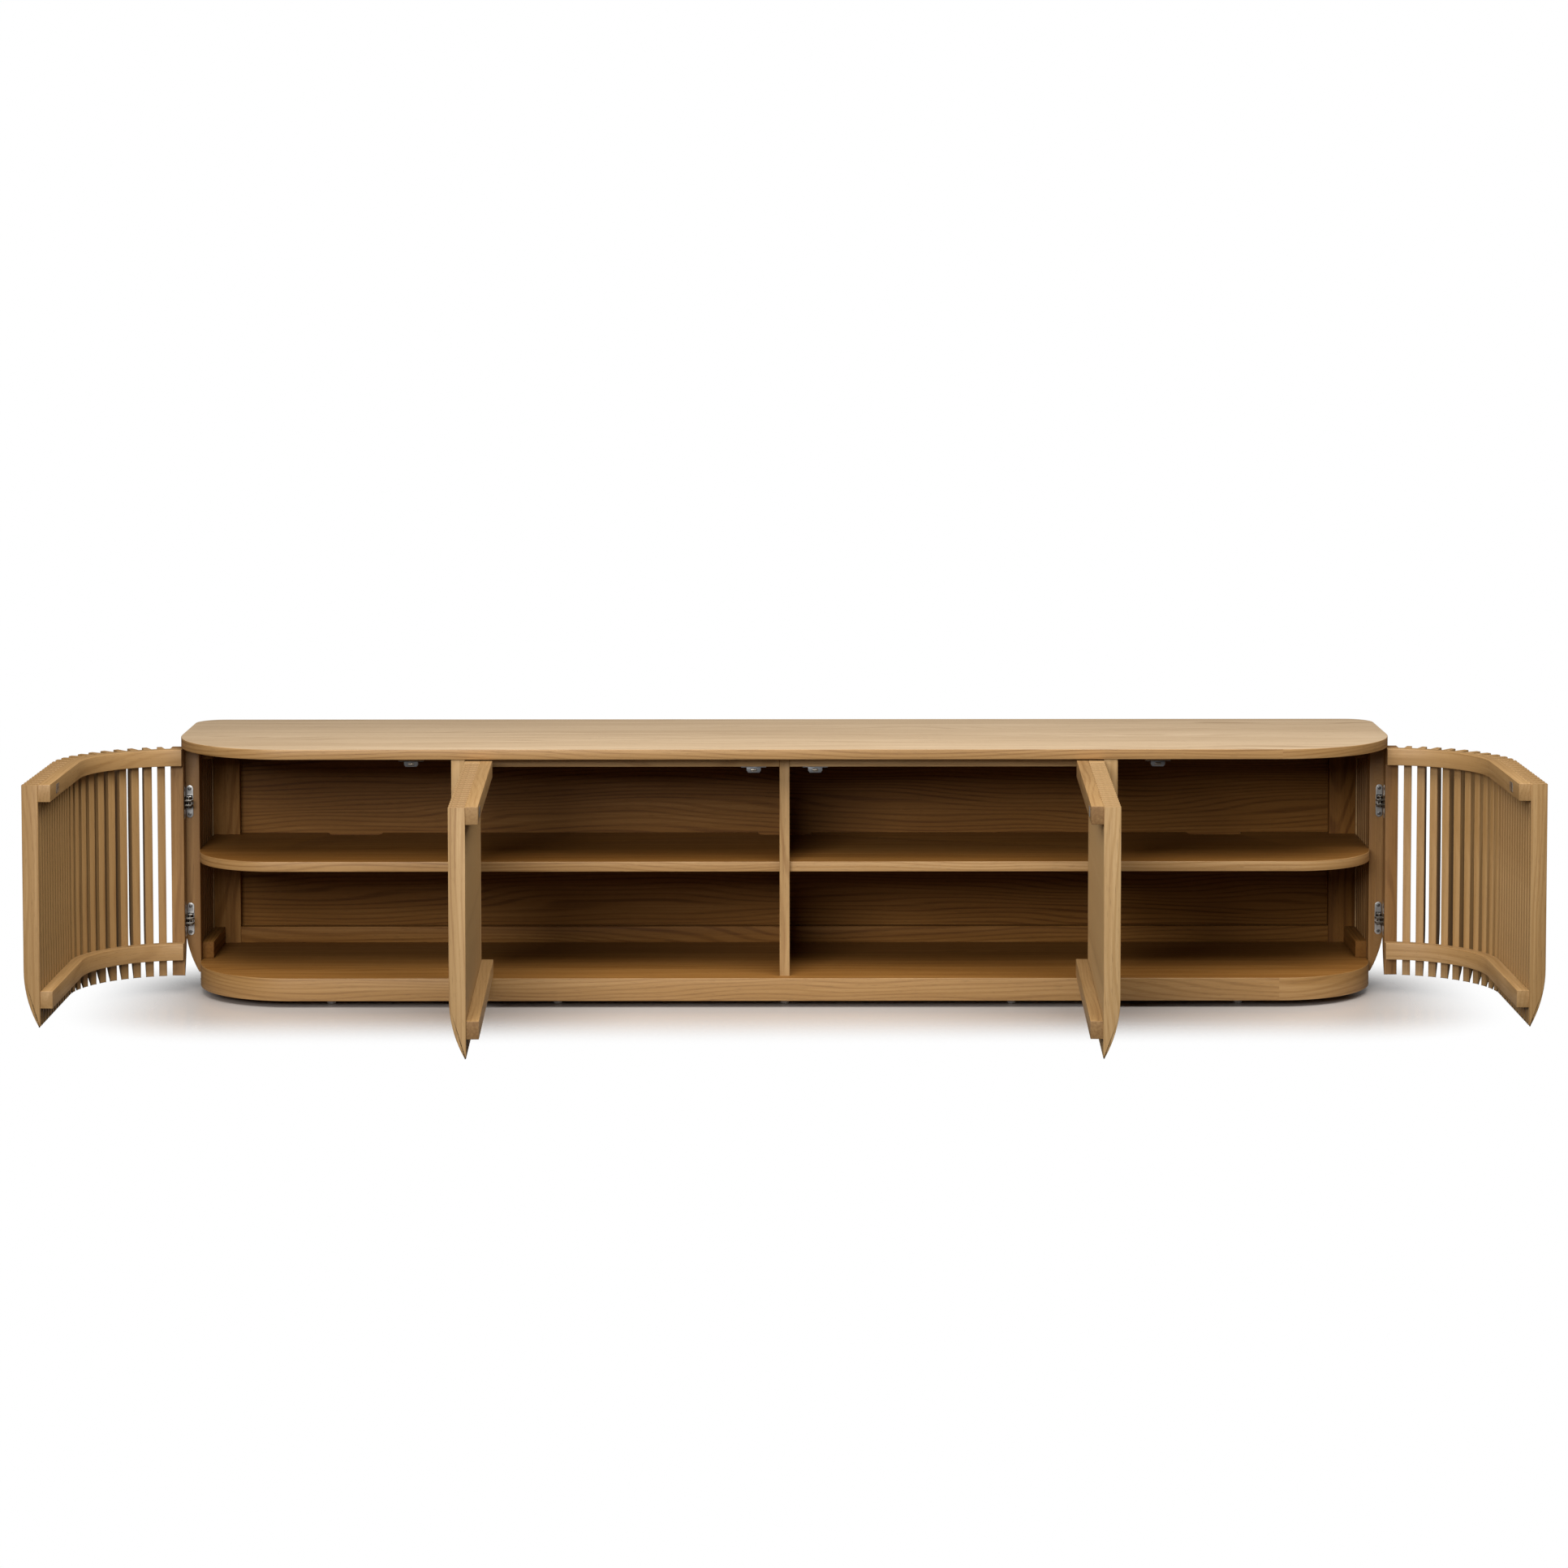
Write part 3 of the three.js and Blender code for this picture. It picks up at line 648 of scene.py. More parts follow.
def upright(name, width, depth, top, material, ease=0.7 * MM, narrowing=1.0):
    """narrowing is the width of the outer face as a share of the width at the back."""
    outline = side_view(depth, top)
    area = sum(a[0] * b[1] - b[0] * a[1] for a, b in zip(outline, outline[1:] + outline[:1]))
    outline = outline if area > 0 else outline[::-1]
    piece = board(name, outline, -width / 2, width / 2, material, ease, turn=SLAT_LOCAL)
    for vertex in piece.data.vertices:
        vertex.co.y *= narrowing + (1 - narrowing) * vertex.co.x / depth
    return piece


def stand(piece, x, y, facing):
    """Puts a piece made at the origin at its place; facing is the way into the wood, in degrees."""
    piece.data.transform(Matrix.Translation((x, y, 0)) @ Matrix.Rotation(math.radians(facing), 4, "Z"))
    return piece


print("upright maker ready")


# %% [markdown]
# The four doors swing on vertical lines. They are drawn shut, where every size is simple,
# and `open_door` turns the finished mesh to where the door stands at rest.

# %% Door hinges as matrices
joints = {joint["name"]: joint for joint in frame["joints"]}


def open_door(name):
    joint = joints[name]
    pivot = Vector(joint["pos_m"])
    shut = math.radians(max(joint["range_deg"]))
    turn = Matrix.Rotation(-shut, 4, Vector(joint["axis"]))
    return Matrix.Translation(pivot) @ turn @ Matrix.Translation(-pivot)


def place_on_door(piece, matrix):
    piece.data.transform(matrix)
    return piece


OPEN = {(kind, word): open_door(f"{kind}_{word}_swing") for kind in ("outer", "inner") for word in SIDES}
print("doors stand open at", {j: max(joints[j]["range_deg"]) for j in joints})

# %% [markdown]
# The slats repeat, so Geometry Nodes set them out. The tree walks along the face of the
# rails: straight across the front, round the corner, then straight back along the side. It
# puts one copy of the incoming mesh at every step, gives each its own shade, and ends in
# real geometry, because copies that only exist as instances are lost on export.

# %% The ends that every tree shares
def new_tree(name, inputs):
    tree = bpy.data.node_groups.new(name, "GeometryNodeTree")
    tree.interface.new_socket("Geometry", in_out="INPUT", socket_type="NodeSocketGeometry")
    identifiers = {}
    for label, kind in inputs.items():
        socket = tree.interface.new_socket(label, in_out="INPUT", socket_type=f"NodeSocket{kind}")
        identifiers[label] = socket.identifier
    tree.interface.new_socket("Geometry", in_out="OUTPUT", socket_type="NodeSocketGeometry")
    graph = Graph(tree)
    source = tree.nodes.new("NodeGroupInput")
    wires = {s.name: Wire(graph, s) for s in source.outputs if s.name}
    return graph, wires, identifiers


def copies_at(graph, wires, position, facing):
    """The shared end of every tree: points, copies, a shade for each, then plain geometry."""
    points = graph.add("GeometryNodePoints", None, {"Count": wires["Count"], "Position": position})
    rotation = graph.add("ShaderNodeCombineXYZ", None, {2: facing})
    copies = graph.add("GeometryNodeInstanceOnPoints", None,
                       {"Points": points, "Instance": wires["Geometry"], "Rotation": rotation})
    random_node = graph.tree.nodes.new("FunctionNodeRandomValue")
    random_node.data_type = "FLOAT"
    graph.tree.links.new(wires["Seed"].socket, random_node.inputs["Seed"])
    amount = Wire(graph, next(s for s in random_node.outputs if s.type == "VALUE"))
    settings = {"data_type": "FLOAT", "domain": "INSTANCE"}
    shaded = graph.add("GeometryNodeStoreNamedAttribute", settings,
                       {"Geometry": copies, "Name": "shade", "Value": amount})
    solid = graph.add("GeometryNodeRealizeInstances", None, {"Geometry": shaded})
    coloured = graph.add("GeometryNodeSetMaterial", None,
                         {"Geometry": solid, "Material": wires["Material"]})
    group_output = graph.tree.nodes.new("NodeGroupOutput")
    graph.tree.links.new(coloured.socket, group_output.inputs[0])


print("tree ends ready")

# %% [markdown]
# For the row itself, the distance walked decides both the place and the way a slat faces.
# Past the start of the corner the walk becomes an angle, and past its end a straight line.

# %% The tree that sets out a row
def row_tree():
    inputs = {"Count": "Int", "First": "Float", "Pitch": "Float", "Side": "Float", "Inset": "Float",
              "Height": "Float", "Seed": "Int", "Material": "Material"}
    graph, wires, identifiers = new_tree("row_round_the_cabinet", inputs)
    walk_radius = FRONT_RADIUS - RAIL_OUTER
    quarter = walk_radius * math.pi / 2
    index = graph.add("GeometryNodeInputIndex")
    distance = wires["First"] + index * wires["Pitch"]
    past_corner = distance - CORNER_X
    round_corner = past_corner.math("MAXIMUM", 0.0).math("MINIMUM", quarter)
    angle = round_corner / walk_radius
    reach = FRONT_RADIUS - wires["Inset"]
    x = (distance.math("MINIMUM", CORNER_X) + reach * angle.math("SINE")) * wires["Side"]
    behind = (past_corner - quarter).math("MAXIMUM", 0.0)
    y = CORNER_Y - reach * angle.math("COSINE") + behind
    position = graph.add("ShaderNodeCombineXYZ", None, {0: x, 1: y, 2: wires["Height"]})
    copies_at(graph, wires, position, wires["Side"] * angle + math.pi / 2)
    return graph.tree, identifiers


ROW_TREE, ROW_SOCKETS = row_tree()
print("row tree:", len(ROW_TREE.nodes), "nodes")

# %% [markdown]
# A tree is run by putting it on one piece as a modifier and keeping the evaluated result.
# Its inputs are set by identifier, and the modifier goes before the piece is used.

# %% Running a tree
def laid_out(name, seed_piece, tree, sockets, values):
    """Runs a tree on one piece and keeps the result as a plain mesh."""
    modifier = seed_piece.modifiers.new("set_out", "NODES")
    modifier.node_group = tree
    for label, value in values.items():
        modifier[sockets[label]] = value
    bpy.context.view_layer.update()
    depsgraph = bpy.context.evaluated_depsgraph_get()
    mesh = bpy.data.meshes.new_from_object(seed_piece.evaluated_get(depsgraph))
    seed_piece.modifiers.remove(modifier)
    bpy.data.objects.remove(seed_piece)
    piece = bpy.data.objects.new(name, mesh)
    bpy.context.scene.collection.objects.link(piece)
    return piece


def slat_row(name, count, first, pitch, side, top, seed, material=OAK_SOLID):
    slat = upright("one_slat", SLAT_WIDTH, SLAT_DEPTH, top, OAK_SOLID, narrowing=SLAT_NARROWING)
    values = {"Count": count, "First": first, "Pitch": pitch, "Side": float(side), "Inset": REVEAL,
              "Height": 0.0, "Seed": seed, "Material": material}
    return laid_out(name, slat, ROW_TREE, ROW_SOCKETS, values)


print("slat rows ready")

# %% [markdown]
# A round part such as a screw, a pin or a glide is a profile spun about an axis. The profile
# runs from the axis to the axis, so the solid closes at both poles.

# %% Turned parts
def turned(name, profile, material, steps=20, turn=None):
    """profile holds (radius, height) pairs from the lower pole to the upper pole."""
    verts = [(0, 0, profile[0][1])]
    for radius, height in profile[1:-1]:
        for j in range(steps):
            a = 2 * math.pi * j / steps
            verts.append((radius * math.cos(a), radius * math.sin(a), height))
    verts.append((0, 0, profile[-1][1]))
    faces = [(0, 1 + (j + 1) % steps, 1 + j) for j in range(steps)]
    rings = len(profile) - 2
    for ring in range(rings - 1):
        start = 1 + ring * steps
        for j in range(steps):
            k = (j + 1) % steps
            faces.append((start + j, start + k, start + steps + k, start + steps + j))
    last = 1 + (rings - 1) * steps
    faces += [(last + j, last + (j + 1) % steps, len(verts) - 1) for j in range(steps)]
    mesh = bpy.data.meshes.new(name)
    mesh.from_pydata(verts, [], faces)
    if turn is not None:
        mesh.transform(turn)
    piece = mesh_object(name, mesh, material)
    mesh.set_sharp_from_angle(angle=math.radians(35))
    return piece


print("turned parts ready")

# %% [markdown]
# Mortises for the hinges are cut into the posts and stiles with a boolean, because a plate
# let into wood shows a fine dark line all round it that a plate laid on top never does.

# %% Carving and mortises
HINGE_LEVELS = {}
for level in ("upper", "lower"):
    low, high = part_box(f"hinge_post_cup_outer_left_{level}")
    HINGE_LEVELS[level] = (low.z + high.z) / 2
PLATE_LENGTH = high.z - low.z
PLATE_WIDTH = high.x - low.x
CUP_DEPTH = high.y - low.y
def pill(length, width, steps=12):
    radius = width / 2
    straight = length / 2 - radius
    return arc(straight, 0, radius, -90, 90, steps) + arc(-straight, 0, radius, 90, 270, steps)


def facing_matrix(x, y, z, facing):
    """Local Z goes into the wood, local X stands upright."""
    a = math.radians(facing)
    into = Vector((math.cos(a), math.sin(a), 0))
    up = Vector((0, 0, 1))
    across = into.cross(up)
    turn = Matrix((up, across, into)).transposed().to_4x4()
    return Matrix.Translation((x, y, z)) @ turn


def carve(piece, cutters):
    for cutter in cutters:
        modifier = piece.modifiers.new("carve", "BOOLEAN")
        modifier.operation = "DIFFERENCE"
        modifier.solver = "MANIFOLD"
        modifier.material_mode = "TRANSFER"
        modifier.object = cutter
    depsgraph = bpy.context.evaluated_depsgraph_get()
    carved = bpy.data.meshes.new_from_object(piece.evaluated_get(depsgraph))
    piece.modifiers.clear()
    piece.data = carved
    carved.set_sharp_from_angle(angle=math.radians(35))
    for cutter in cutters:
        bpy.data.objects.remove(cutter)
    return piece


def mortised(piece, seat):
    cutters = []
    for level, z in HINGE_LEVELS.items():
        outline = pill(PLATE_LENGTH + 2 * FIT, PLATE_WIDTH + 2 * FIT)
        turn = facing_matrix(seat[0], seat[1], z, seat[2])
        cutters.append(board("cutter", outline, -1 * MM, CUP_DEPTH + FIT, OAK_SOLID, 0.01 * MM, turn=turn))
    return carve(piece, cutters)


print("mortises ready at heights", [round(z, 3) for z in HINGE_LEVELS.values()])

# %% [markdown]
# Every hinge has two seats: a spot on the post and a spot on the door, each with the way into
# the wood. The outer doors meet their posts edge to edge, the inner doors side to side.

# %% Hinge seats
HINGE_FROM_FACE = 11 * MM
HINGE_GAP = 1.5 * MM
HINGE_Y = FRONT + 208 * MM
MID_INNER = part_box("mid_post_right")[0].x
MID_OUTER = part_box("mid_post_right")[1].x
DOOR_EDGE_X = MID_INNER - HINGE_GAP
DOOR_EDGE_Y = HINGE_Y - HINGE_GAP / 2
POST_FACE_Y = HINGE_Y + HINGE_GAP / 2
OUTER_FACE_X = HALF - REVEAL


def outer_seats(side):
    x = side * (OUTER_FACE_X - HINGE_FROM_FACE)
    return {"post": (x, POST_FACE_Y, 90), "door": (x, DOOR_EDGE_Y, -90)}


def inner_seats(side):
    y = FRONT + REVEAL + HINGE_FROM_FACE
    into_post = 0 if side > 0 else 180
    return {"post": (side * MID_INNER, y, into_post), "door": (side * DOOR_EDGE_X, y, 180 - into_post)}


SEATS = {("outer", word): outer_seats(side) for word, side in SIDES.items()}
SEATS.update({("inner", word): inner_seats(side) for word, side in SIDES.items()})
print("hinge seats:", len(SEATS) * len(HINGE_LEVELS) * 2)

# %% [markdown]
# The fixed uprights: a hinge post at each end of the slatted side, a mid post between each
# pair of doors, and a rear corner post that wraps the plinth. The side grille between posts
# is a row of slats on two rails.

# %% Posts
POST_DEPTH = BASE_FRONT - FRONT - REVEAL
REAR_CENTRE = (HALF - BACK_RADIUS, BACK - BACK_RADIUS)
back_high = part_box("back_panel")[1]


def front_posts(word, side):
    inward = 180 if side > 0 else 0
    # Hinge posts take the darker post oak, painted shade under the top and beside the doors.
    post = upright(f"hinge_post_board_{word}", STILE_WIDTH, POST_DEPTH, UNDERSIDE, OAK_POST_PAINTED_SHADE)
    stand(post, side * OUTER_FACE_X, POST_FACE_Y + STILE_WIDTH / 2, inward)
    keep(mortised(post, SEATS[("outer", word)]["post"]), "cabinet", f"hinge_post_{word}", slot="oak_solid")
    mid = upright(f"mid_post_board_{word}", MID_OUTER - MID_INNER, POST_DEPTH, UNDERSIDE, OAK_SOLID)
    stand(mid, side * (MID_OUTER + MID_INNER) / 2, FRONT + REVEAL, 90)
    keep(mortised(mid, SEATS[("inner", word)]["post"]), "cabinet", f"mid_post_{word}", slot="oak_solid")


def rear_post_plan():
    radius = BACK_RADIUS - REVEAL
    start = math.degrees(math.asin((REAR_POST_START - REAR_CENTRE[1]) / radius))
    return ([(BASE_HALF, REAR_POST_START)] + arc(*REAR_CENTRE, radius, start, 90, 12)
            + [(back_high.x, BACK - REVEAL), (back_high.x, base_high.y), (BASE_HALF, base_high.y)])


def rear_post(word, side):
    plan = sided(rear_post_plan(), side)
    wrap = board(f"rear_post_board_{word}", plan, SLAT_TIP, UNDERSIDE, OAK_SOLID, 1.0 * MM)
    keep(wrap, "cabinet", f"rear_corner_post_{word}", slot="oak_solid")
    x0, x1 = sorted((side * rail_high.x, side * BASE_HALF))
    # The rear stile takes the dark inside oak, painted shade inside the case.
    stile = board(f"rear_stile_board_{word}", rectangle(base_high.z, UNDERSIDE, rail_low.y, rail_high.y),
                  x0, x1, OAK_INSIDE_PAINTED_SHADE, turn=UPRIGHT_ACROSS)
    keep(stile, "cabinet", slot="oak_solid")


print("posts ready")

# %% [markdown]
# Behind each hinge post the side is closed by a fixed grille: six slats on two short rails,
# spaced so that the gaps at both ends equal the gaps between.

# %% Side grilles
grille_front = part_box("side_grille_right")[0].y
SIDE_WALK_START = CORNER_X + (FRONT_RADIUS - RAIL_OUTER) * math.pi / 2


def side_grille(word, side):
    run = REAR_POST_START - grille_front
    gap = (run - SIDE_SLATS * SLAT_WIDTH) / (SIDE_SLATS + 1)
    first = SIDE_WALK_START + (grille_front - CORNER_Y) + gap + SLAT_WIDTH / 2
    # The side slats take the darker post oak, painted shade.
    slats = slat_row(f"side_slats_{word}", SIDE_SLATS, first, gap + SLAT_WIDTH, side, UNDERSIDE, 5 + side,
                     OAK_POST_PAINTED_SHADE)
    keep(slats, "cabinet", f"side_grille_{word}", slot="oak_solid")
    x0, x1 = sorted((side * (HALF - RAIL_INNER), side * (HALF - RAIL_OUTER)))
    outline = [(y, -x) for x, y in rectangle(x0, x1, grille_front, rail_low.y)]
    for level, z in (("lower", base_high.z), ("upper", UNDERSIDE - RAIL_HEIGHT)):
        # The side rails take the dark inside oak, painted shade behind the slats.
        rail = board(f"side_rail_{level}_{word}", outline, z, z + RAIL_HEIGHT, OAK_INSIDE_PAINTED_SHADE,
                     turn=FRONT_TO_BACK)
        keep(rail, "cabinet", slot="oak_solid")


for word, side in SIDES.items():
    front_posts(word, side)
    rear_post(word, side)
    side_grille(word, side)
print("posts and side grilles made")

# %% [markdown]
# Each door is a row of slats on two rails, with a wide stile at the hinge. The inner doors
# are flat. The outer doors bend round the corner, so their rails are curved, and `unroll`
# turns a place on the curve into a distance along it, so that the grain bends too.

# %% Door rails
OUTER_FREE = 594.6 * MM
INNER_FREE = 1.5 * MM
WALK_RADIUS = FRONT_RADIUS - RAIL_OUTER


def end_angle(radius):
    return math.degrees(math.acos((FRONT_RADIUS - (DOOR_EDGE_Y - FRONT)) / radius))


def unroll_corner(x, y):
    x = abs(x)
    if x <= CORNER_X:
        return x, y
    angle = math.atan2(x - CORNER_X, CORNER_Y - y)
    radius = math.hypot(x - CORNER_X, CORNER_Y - y)
    return CORNER_X + angle * WALK_RADIUS, CORNER_Y - radius


def curved_rail_plan():
    outer = FRONT_RADIUS - RAIL_OUTER
    inner = FRONT_RADIUS - RAIL_INNER
    free = OUTER_FREE + RAIL_SETBACK
    return ([(free, FRONT + RAIL_OUTER)]
            + arc(CORNER_X, CORNER_Y, outer, -90, end_angle(outer) - 90, 28)
            + arc(CORNER_X, CORNER_Y, inner, end_angle(inner) - 90, -90, 28)
            + [(free, FRONT + RAIL_INNER)])


def door_rail(kind, word, side, level, z):
    name = f"door_{kind}_{word}_{level}_rail"
    if kind == "outer":
        outline = sided(curved_rail_plan(), side)
        rail = board(name, outline, z, z + RAIL_HEIGHT, OAK_RAIL, 1.0 * MM, unroll=unroll_corner)
    else:
        x0, x1 = sorted((side * (INNER_FREE + RAIL_SETBACK), side * DOOR_EDGE_X))
        outline = rectangle(x0, x1, FRONT + RAIL_OUTER, FRONT + RAIL_INNER)
        rail = board(name, outline, z, z + RAIL_HEIGHT, OAK_RAIL, 1.0 * MM)
    return rail


print("door rails ready")

# %% [markdown]
# A headless steel pin holds every slat to its rail. Only the small round ends show, on the
# inner face of the rails, so the row tree sets out pins exactly as it sets out slats.

# %% Pins
PIN_PROFILE = [(0, -1.5 * MM), (0.55 * MM, -1.5 * MM), (0.55 * MM, 0), (0.4 * MM, 0.05 * MM), (0, 0.05 * MM)]


def pin_row(name, count, first, pitch, side, height):
    turn = Matrix.Rotation(math.radians(90), 4, "Y")
    pin = turned("one_pin", PIN_PROFILE, PIN_STEEL, 10, turn=turn)
    values = {"Count": count, "First": first, "Pitch": pitch, "Side": float(side), "Inset": RAIL_INNER,
              "Height": height, "Seed": 3, "Material": PIN_STEEL}
    return laid_out(name, pin, ROW_TREE, ROW_SOCKETS, values)


print("pins ready")

# %% [markdown]
# A door is put together shut, where its slats, stile, rails and pins share one simple plan,
# and then each finished piece is moved to the open door.

# %% Doors
def door(kind, word, side):
    matrix = OPEN[(kind, word)]
    body = f"door_{kind}_{word}"
    if kind == "outer":
        free = OUTER_FREE
        hinge_end = CORNER_X + WALK_RADIUS * math.radians(end_angle(WALK_RADIUS))
    else:
        free = INNER_FREE
        hinge_end = DOOR_EDGE_X
    gap = (hinge_end - free - DOOR_SLATS * SLAT_WIDTH - STILE_WIDTH) / DOOR_SLATS
    pitch = gap + SLAT_WIDTH
    slats = slat_row(f"{body}_slats", DOOR_SLATS, free + SLAT_WIDTH / 2, pitch, side, DOOR_TOP,
                     20 + len(body) + side, OAK_SLAT if kind == "outer" else OAK_SOLID)
    keep(place_on_door(slats, matrix), body, f"{body}_grille", slot="oak_solid")

    # Outer door stiles take the darker post oak, painted shade; inner ones take the solid oak.
    stile_oak = OAK_POST_PAINTED_SHADE if kind == "outer" else OAK_SOLID
    stile = upright(f"{body}_stile", STILE_WIDTH, SLAT_DEPTH, DOOR_TOP, stile_oak)
    if kind == "outer":
        stand(stile, side * OUTER_FACE_X, DOOR_EDGE_Y - STILE_WIDTH / 2, 180 if side > 0 else 0)
    else:
        stand(stile, side * (DOOR_EDGE_X - STILE_WIDTH / 2), FRONT + REVEAL, 90)
    stile = mortised(stile, SEATS[(kind, word)]["door"])
    keep(place_on_door(stile, matrix), body, f"{body}_hinge_stile", slot="oak_solid")

    for level, z in (("upper", DOOR_TOP - RAIL_HEIGHT), ("lower", DOOR_RAIL_LOW)):
        rail = door_rail(kind, word, side, level, z)
        keep(place_on_door(rail, matrix), body, slot="oak_solid")
        pins = pin_row(f"{body}_{level}_pins", DOOR_SLATS, free + SLAT_WIDTH / 2, pitch, side,
                       z + RAIL_HEIGHT / 2)
        keep(place_on_door(pins, matrix), body, slot="hinge_metal")


for kind in ("outer", "inner"):
    for word, side in SIDES.items():
        door(kind, word, side)
print("four doors made")

# %% [markdown]
# A concealed hinge is a long plate with round ends, let in flush, over a deep cup. The plate
# and cup are one solid with a well cut out of it. Flat links stand out of both cups at
# alternate heights, so that each set slides into the other cup when the door is shut.

# %% Hinge cups
WELL_LENGTH = 23 * MM
WELL_WIDTH = 10.4 * MM
WELL_DEPTH = 14.5 * MM
SCREW_SPACING = 47 * MM
SINK_RADIUS = 3.4 * MM
SINK_DEPTH = 1.6 * MM


def hinge_cup(name, seat, z):
    turn = facing_matrix(seat[0], seat[1], z, seat[2])
    cup = board(name, pill(PLATE_LENGTH, PLATE_WIDTH), 0, CUP_DEPTH, NICKEL, 0.35 * MM, turn=turn)
    # The well's walls take the near-black well steel, painted shade of the deep hollow.
    well = board("cutter", rectangle(-WELL_LENGTH / 2, WELL_LENGTH / 2, -WELL_WIDTH / 2, WELL_WIDTH / 2),
                 -MM, WELL_DEPTH, WELL_PAINTED_SHADE, 0.01 * MM, turn=turn)
    sinks = []
    for end in (-1, 1):
        spot = turn @ Matrix.Translation((end * SCREW_SPACING / 2, 0, 0))
        cone = [(0, -MM), (SINK_RADIUS + MM, -MM), (SINK_RADIUS - SINK_DEPTH, SINK_DEPTH), (0, SINK_DEPTH)]
        sinks.append(turned("cutter", cone, NICKEL, 24, turn=spot))
    return carve(cup, [well, *sinks])


print("hinge cups ready")

# %% [markdown]
# Two countersunk screws hold each plate. Each seat has its four screws set out by a tree that
# counts up the hinge line: two to a plate, one above and one below the well.

# %% Screws
def screw_tree():
    inputs = {"Count": "Int", "Lower": "Float", "Upper": "Float", "Spacing": "Float", "X": "Float",
              "Y": "Float", "Facing": "Float", "Seed": "Int", "Material": "Material"}
    graph, wires, identifiers = new_tree("screws_up_a_hinge_line", inputs)
    index = graph.add("GeometryNodeInputIndex")
    plate_number = (index / 2.0).math("FLOOR")
    in_pair = index - plate_number * 2.0
    centre = wires["Lower"] + plate_number * (wires["Upper"] - wires["Lower"])
    z = centre + (in_pair - 0.5) * wires["Spacing"]
    position = graph.add("ShaderNodeCombineXYZ", None, {0: wires["X"], 1: wires["Y"], 2: z})
    copies_at(graph, wires, position, wires["Facing"])
    return graph.tree, identifiers


SCREW_TREE, SCREW_SOCKETS = screw_tree()
SCREW_PROFILE = [(0, 0.05 * MM), (2.9 * MM, 0.12 * MM), (3.1 * MM, 0.25 * MM), (1.7 * MM, 1.5 * MM),
                 (0, 1.5 * MM)]
SLOT_HALF = (1.9 * MM, 0.32 * MM)
SLOT_DEPTH = 0.9 * MM
SLOT_TURNS = (20, 110)


def screw_head(name):
    """One countersunk head with a cross recess, its axis along +X into the wood."""
    turn = Matrix.Rotation(math.radians(90), 4, "Y")
    head = turned(name, SCREW_PROFILE, SCREW_STEEL, 20, turn=turn)
    head.data.flip_normals()
    half_length, half_width = SLOT_HALF
    outline = rectangle(-half_length, half_length, -half_width, half_width)
    slots = []
    for slot_turn in SLOT_TURNS:
        spin = Matrix.Rotation(math.radians(slot_turn), 4, "X") @ turn
        slots.append(board("cutter", outline, -MM, SLOT_DEPTH, SCREW_STEEL, 0.01 * MM, turn=spin))
    return carve(head, slots)


def screws(name, seat):
    values = {"Count": 4, "Lower": HINGE_LEVELS["lower"], "Upper": HINGE_LEVELS["upper"],
              "Spacing": SCREW_SPACING, "X": seat[0], "Y": seat[1], "Facing": math.radians(seat[2]),
              "Seed": 1, "Material": SCREW_STEEL}
    return laid_out(name, screw_head("one_screw"), SCREW_TREE, SCREW_SOCKETS, values)


print("screw tree:", len(SCREW_TREE.nodes), "nodes")

# %% [markdown]
# The folding links are flat arms at alternate heights: three on the post's side and two on the
# door's. Each set is strung on a pin near its tips. At the open position the two sets cross,
# and as the door shuts each slides into the other's well.

# %% Links
LINK_THICK = 3.4 * MM
LINK_PITCH = 4.3 * MM
LINK_ROOT = 6 * MM
LINK_HALF_WIDTH = 3.9 * MM
LINK_REACH = {"outer": 15 * MM, "inner": 12 * MM}
LINK_LEVELS = {"post": (-2, 0, 2), "door": (-1, 1)}
LINK_EASE = 0.35 * MM
LINK_PIN_RADIUS = 1.4 * MM
LINK_PIN_EASE = 0.3 * MM
LINK_PIN_FROM_TIP = 3 * MM


def link_outline(reach):
    """A flat arm in a seat's own frame: into the wood, then across it, with rounded tips."""
    middle = (LINK_ROOT - reach) / 2
    length = LINK_ROOT + reach
    return [(x + middle, y) for x, y in pill(length, 2 * LINK_HALF_WIDTH, 8)]


def hinge_links(name, seat, z, reach, levels):
    """Arms that stand out of one cup, strung on an upright pin near their tips."""
    frame_matrix = facing_matrix(seat[0], seat[1], z, seat[2])
    turn = frame_matrix @ UPRIGHT_ACROSS
    arms = []
    for step in levels:
        middle = step * LINK_PITCH
        arms.append(board("link", link_outline(reach), middle - LINK_THICK / 2, middle + LINK_THICK / 2,
                          LINK_STEEL, LINK_EASE, turn=turn))
    half = max(levels) * LINK_PITCH + 0.4 * LINK_THICK
    tip_radius = LINK_PIN_RADIUS - LINK_PIN_EASE
    profile = [(0, -half), (tip_radius, -half), (LINK_PIN_RADIUS, LINK_PIN_EASE - half),
               (LINK_PIN_RADIUS, half - LINK_PIN_EASE), (tip_radius, half), (0, half)]
    lean = Matrix.Translation((0, 0, LINK_PIN_FROM_TIP - reach)) @ Matrix.Rotation(math.pi / 2, 4, "Y")
    arms.append(turned("link_pin", profile, NICKEL, 14, turn=frame_matrix @ lean))
    return joined(name, arms)


def joined(name, pieces):
    """Several closed solids as one piece, each keeping its own place and material."""
    merged = bmesh.new()
    materials = []
    for piece in pieces:
        slot_start = len(materials)
        materials += list(piece.data.materials)
        before = len(merged.faces)
        merged.from_mesh(piece.data)
        merged.faces.ensure_lookup_table()
        for face in merged.faces[before:]:
            face.material_index += slot_start
        bpy.data.objects.remove(piece)
    mesh = bpy.data.meshes.new(name)
    merged.to_mesh(mesh)
    merged.free()
    for material in materials:
        mesh.materials.append(material)
    piece = bpy.data.objects.new(name, mesh)
    bpy.context.scene.collection.objects.link(piece)
    return piece


print("links ready")

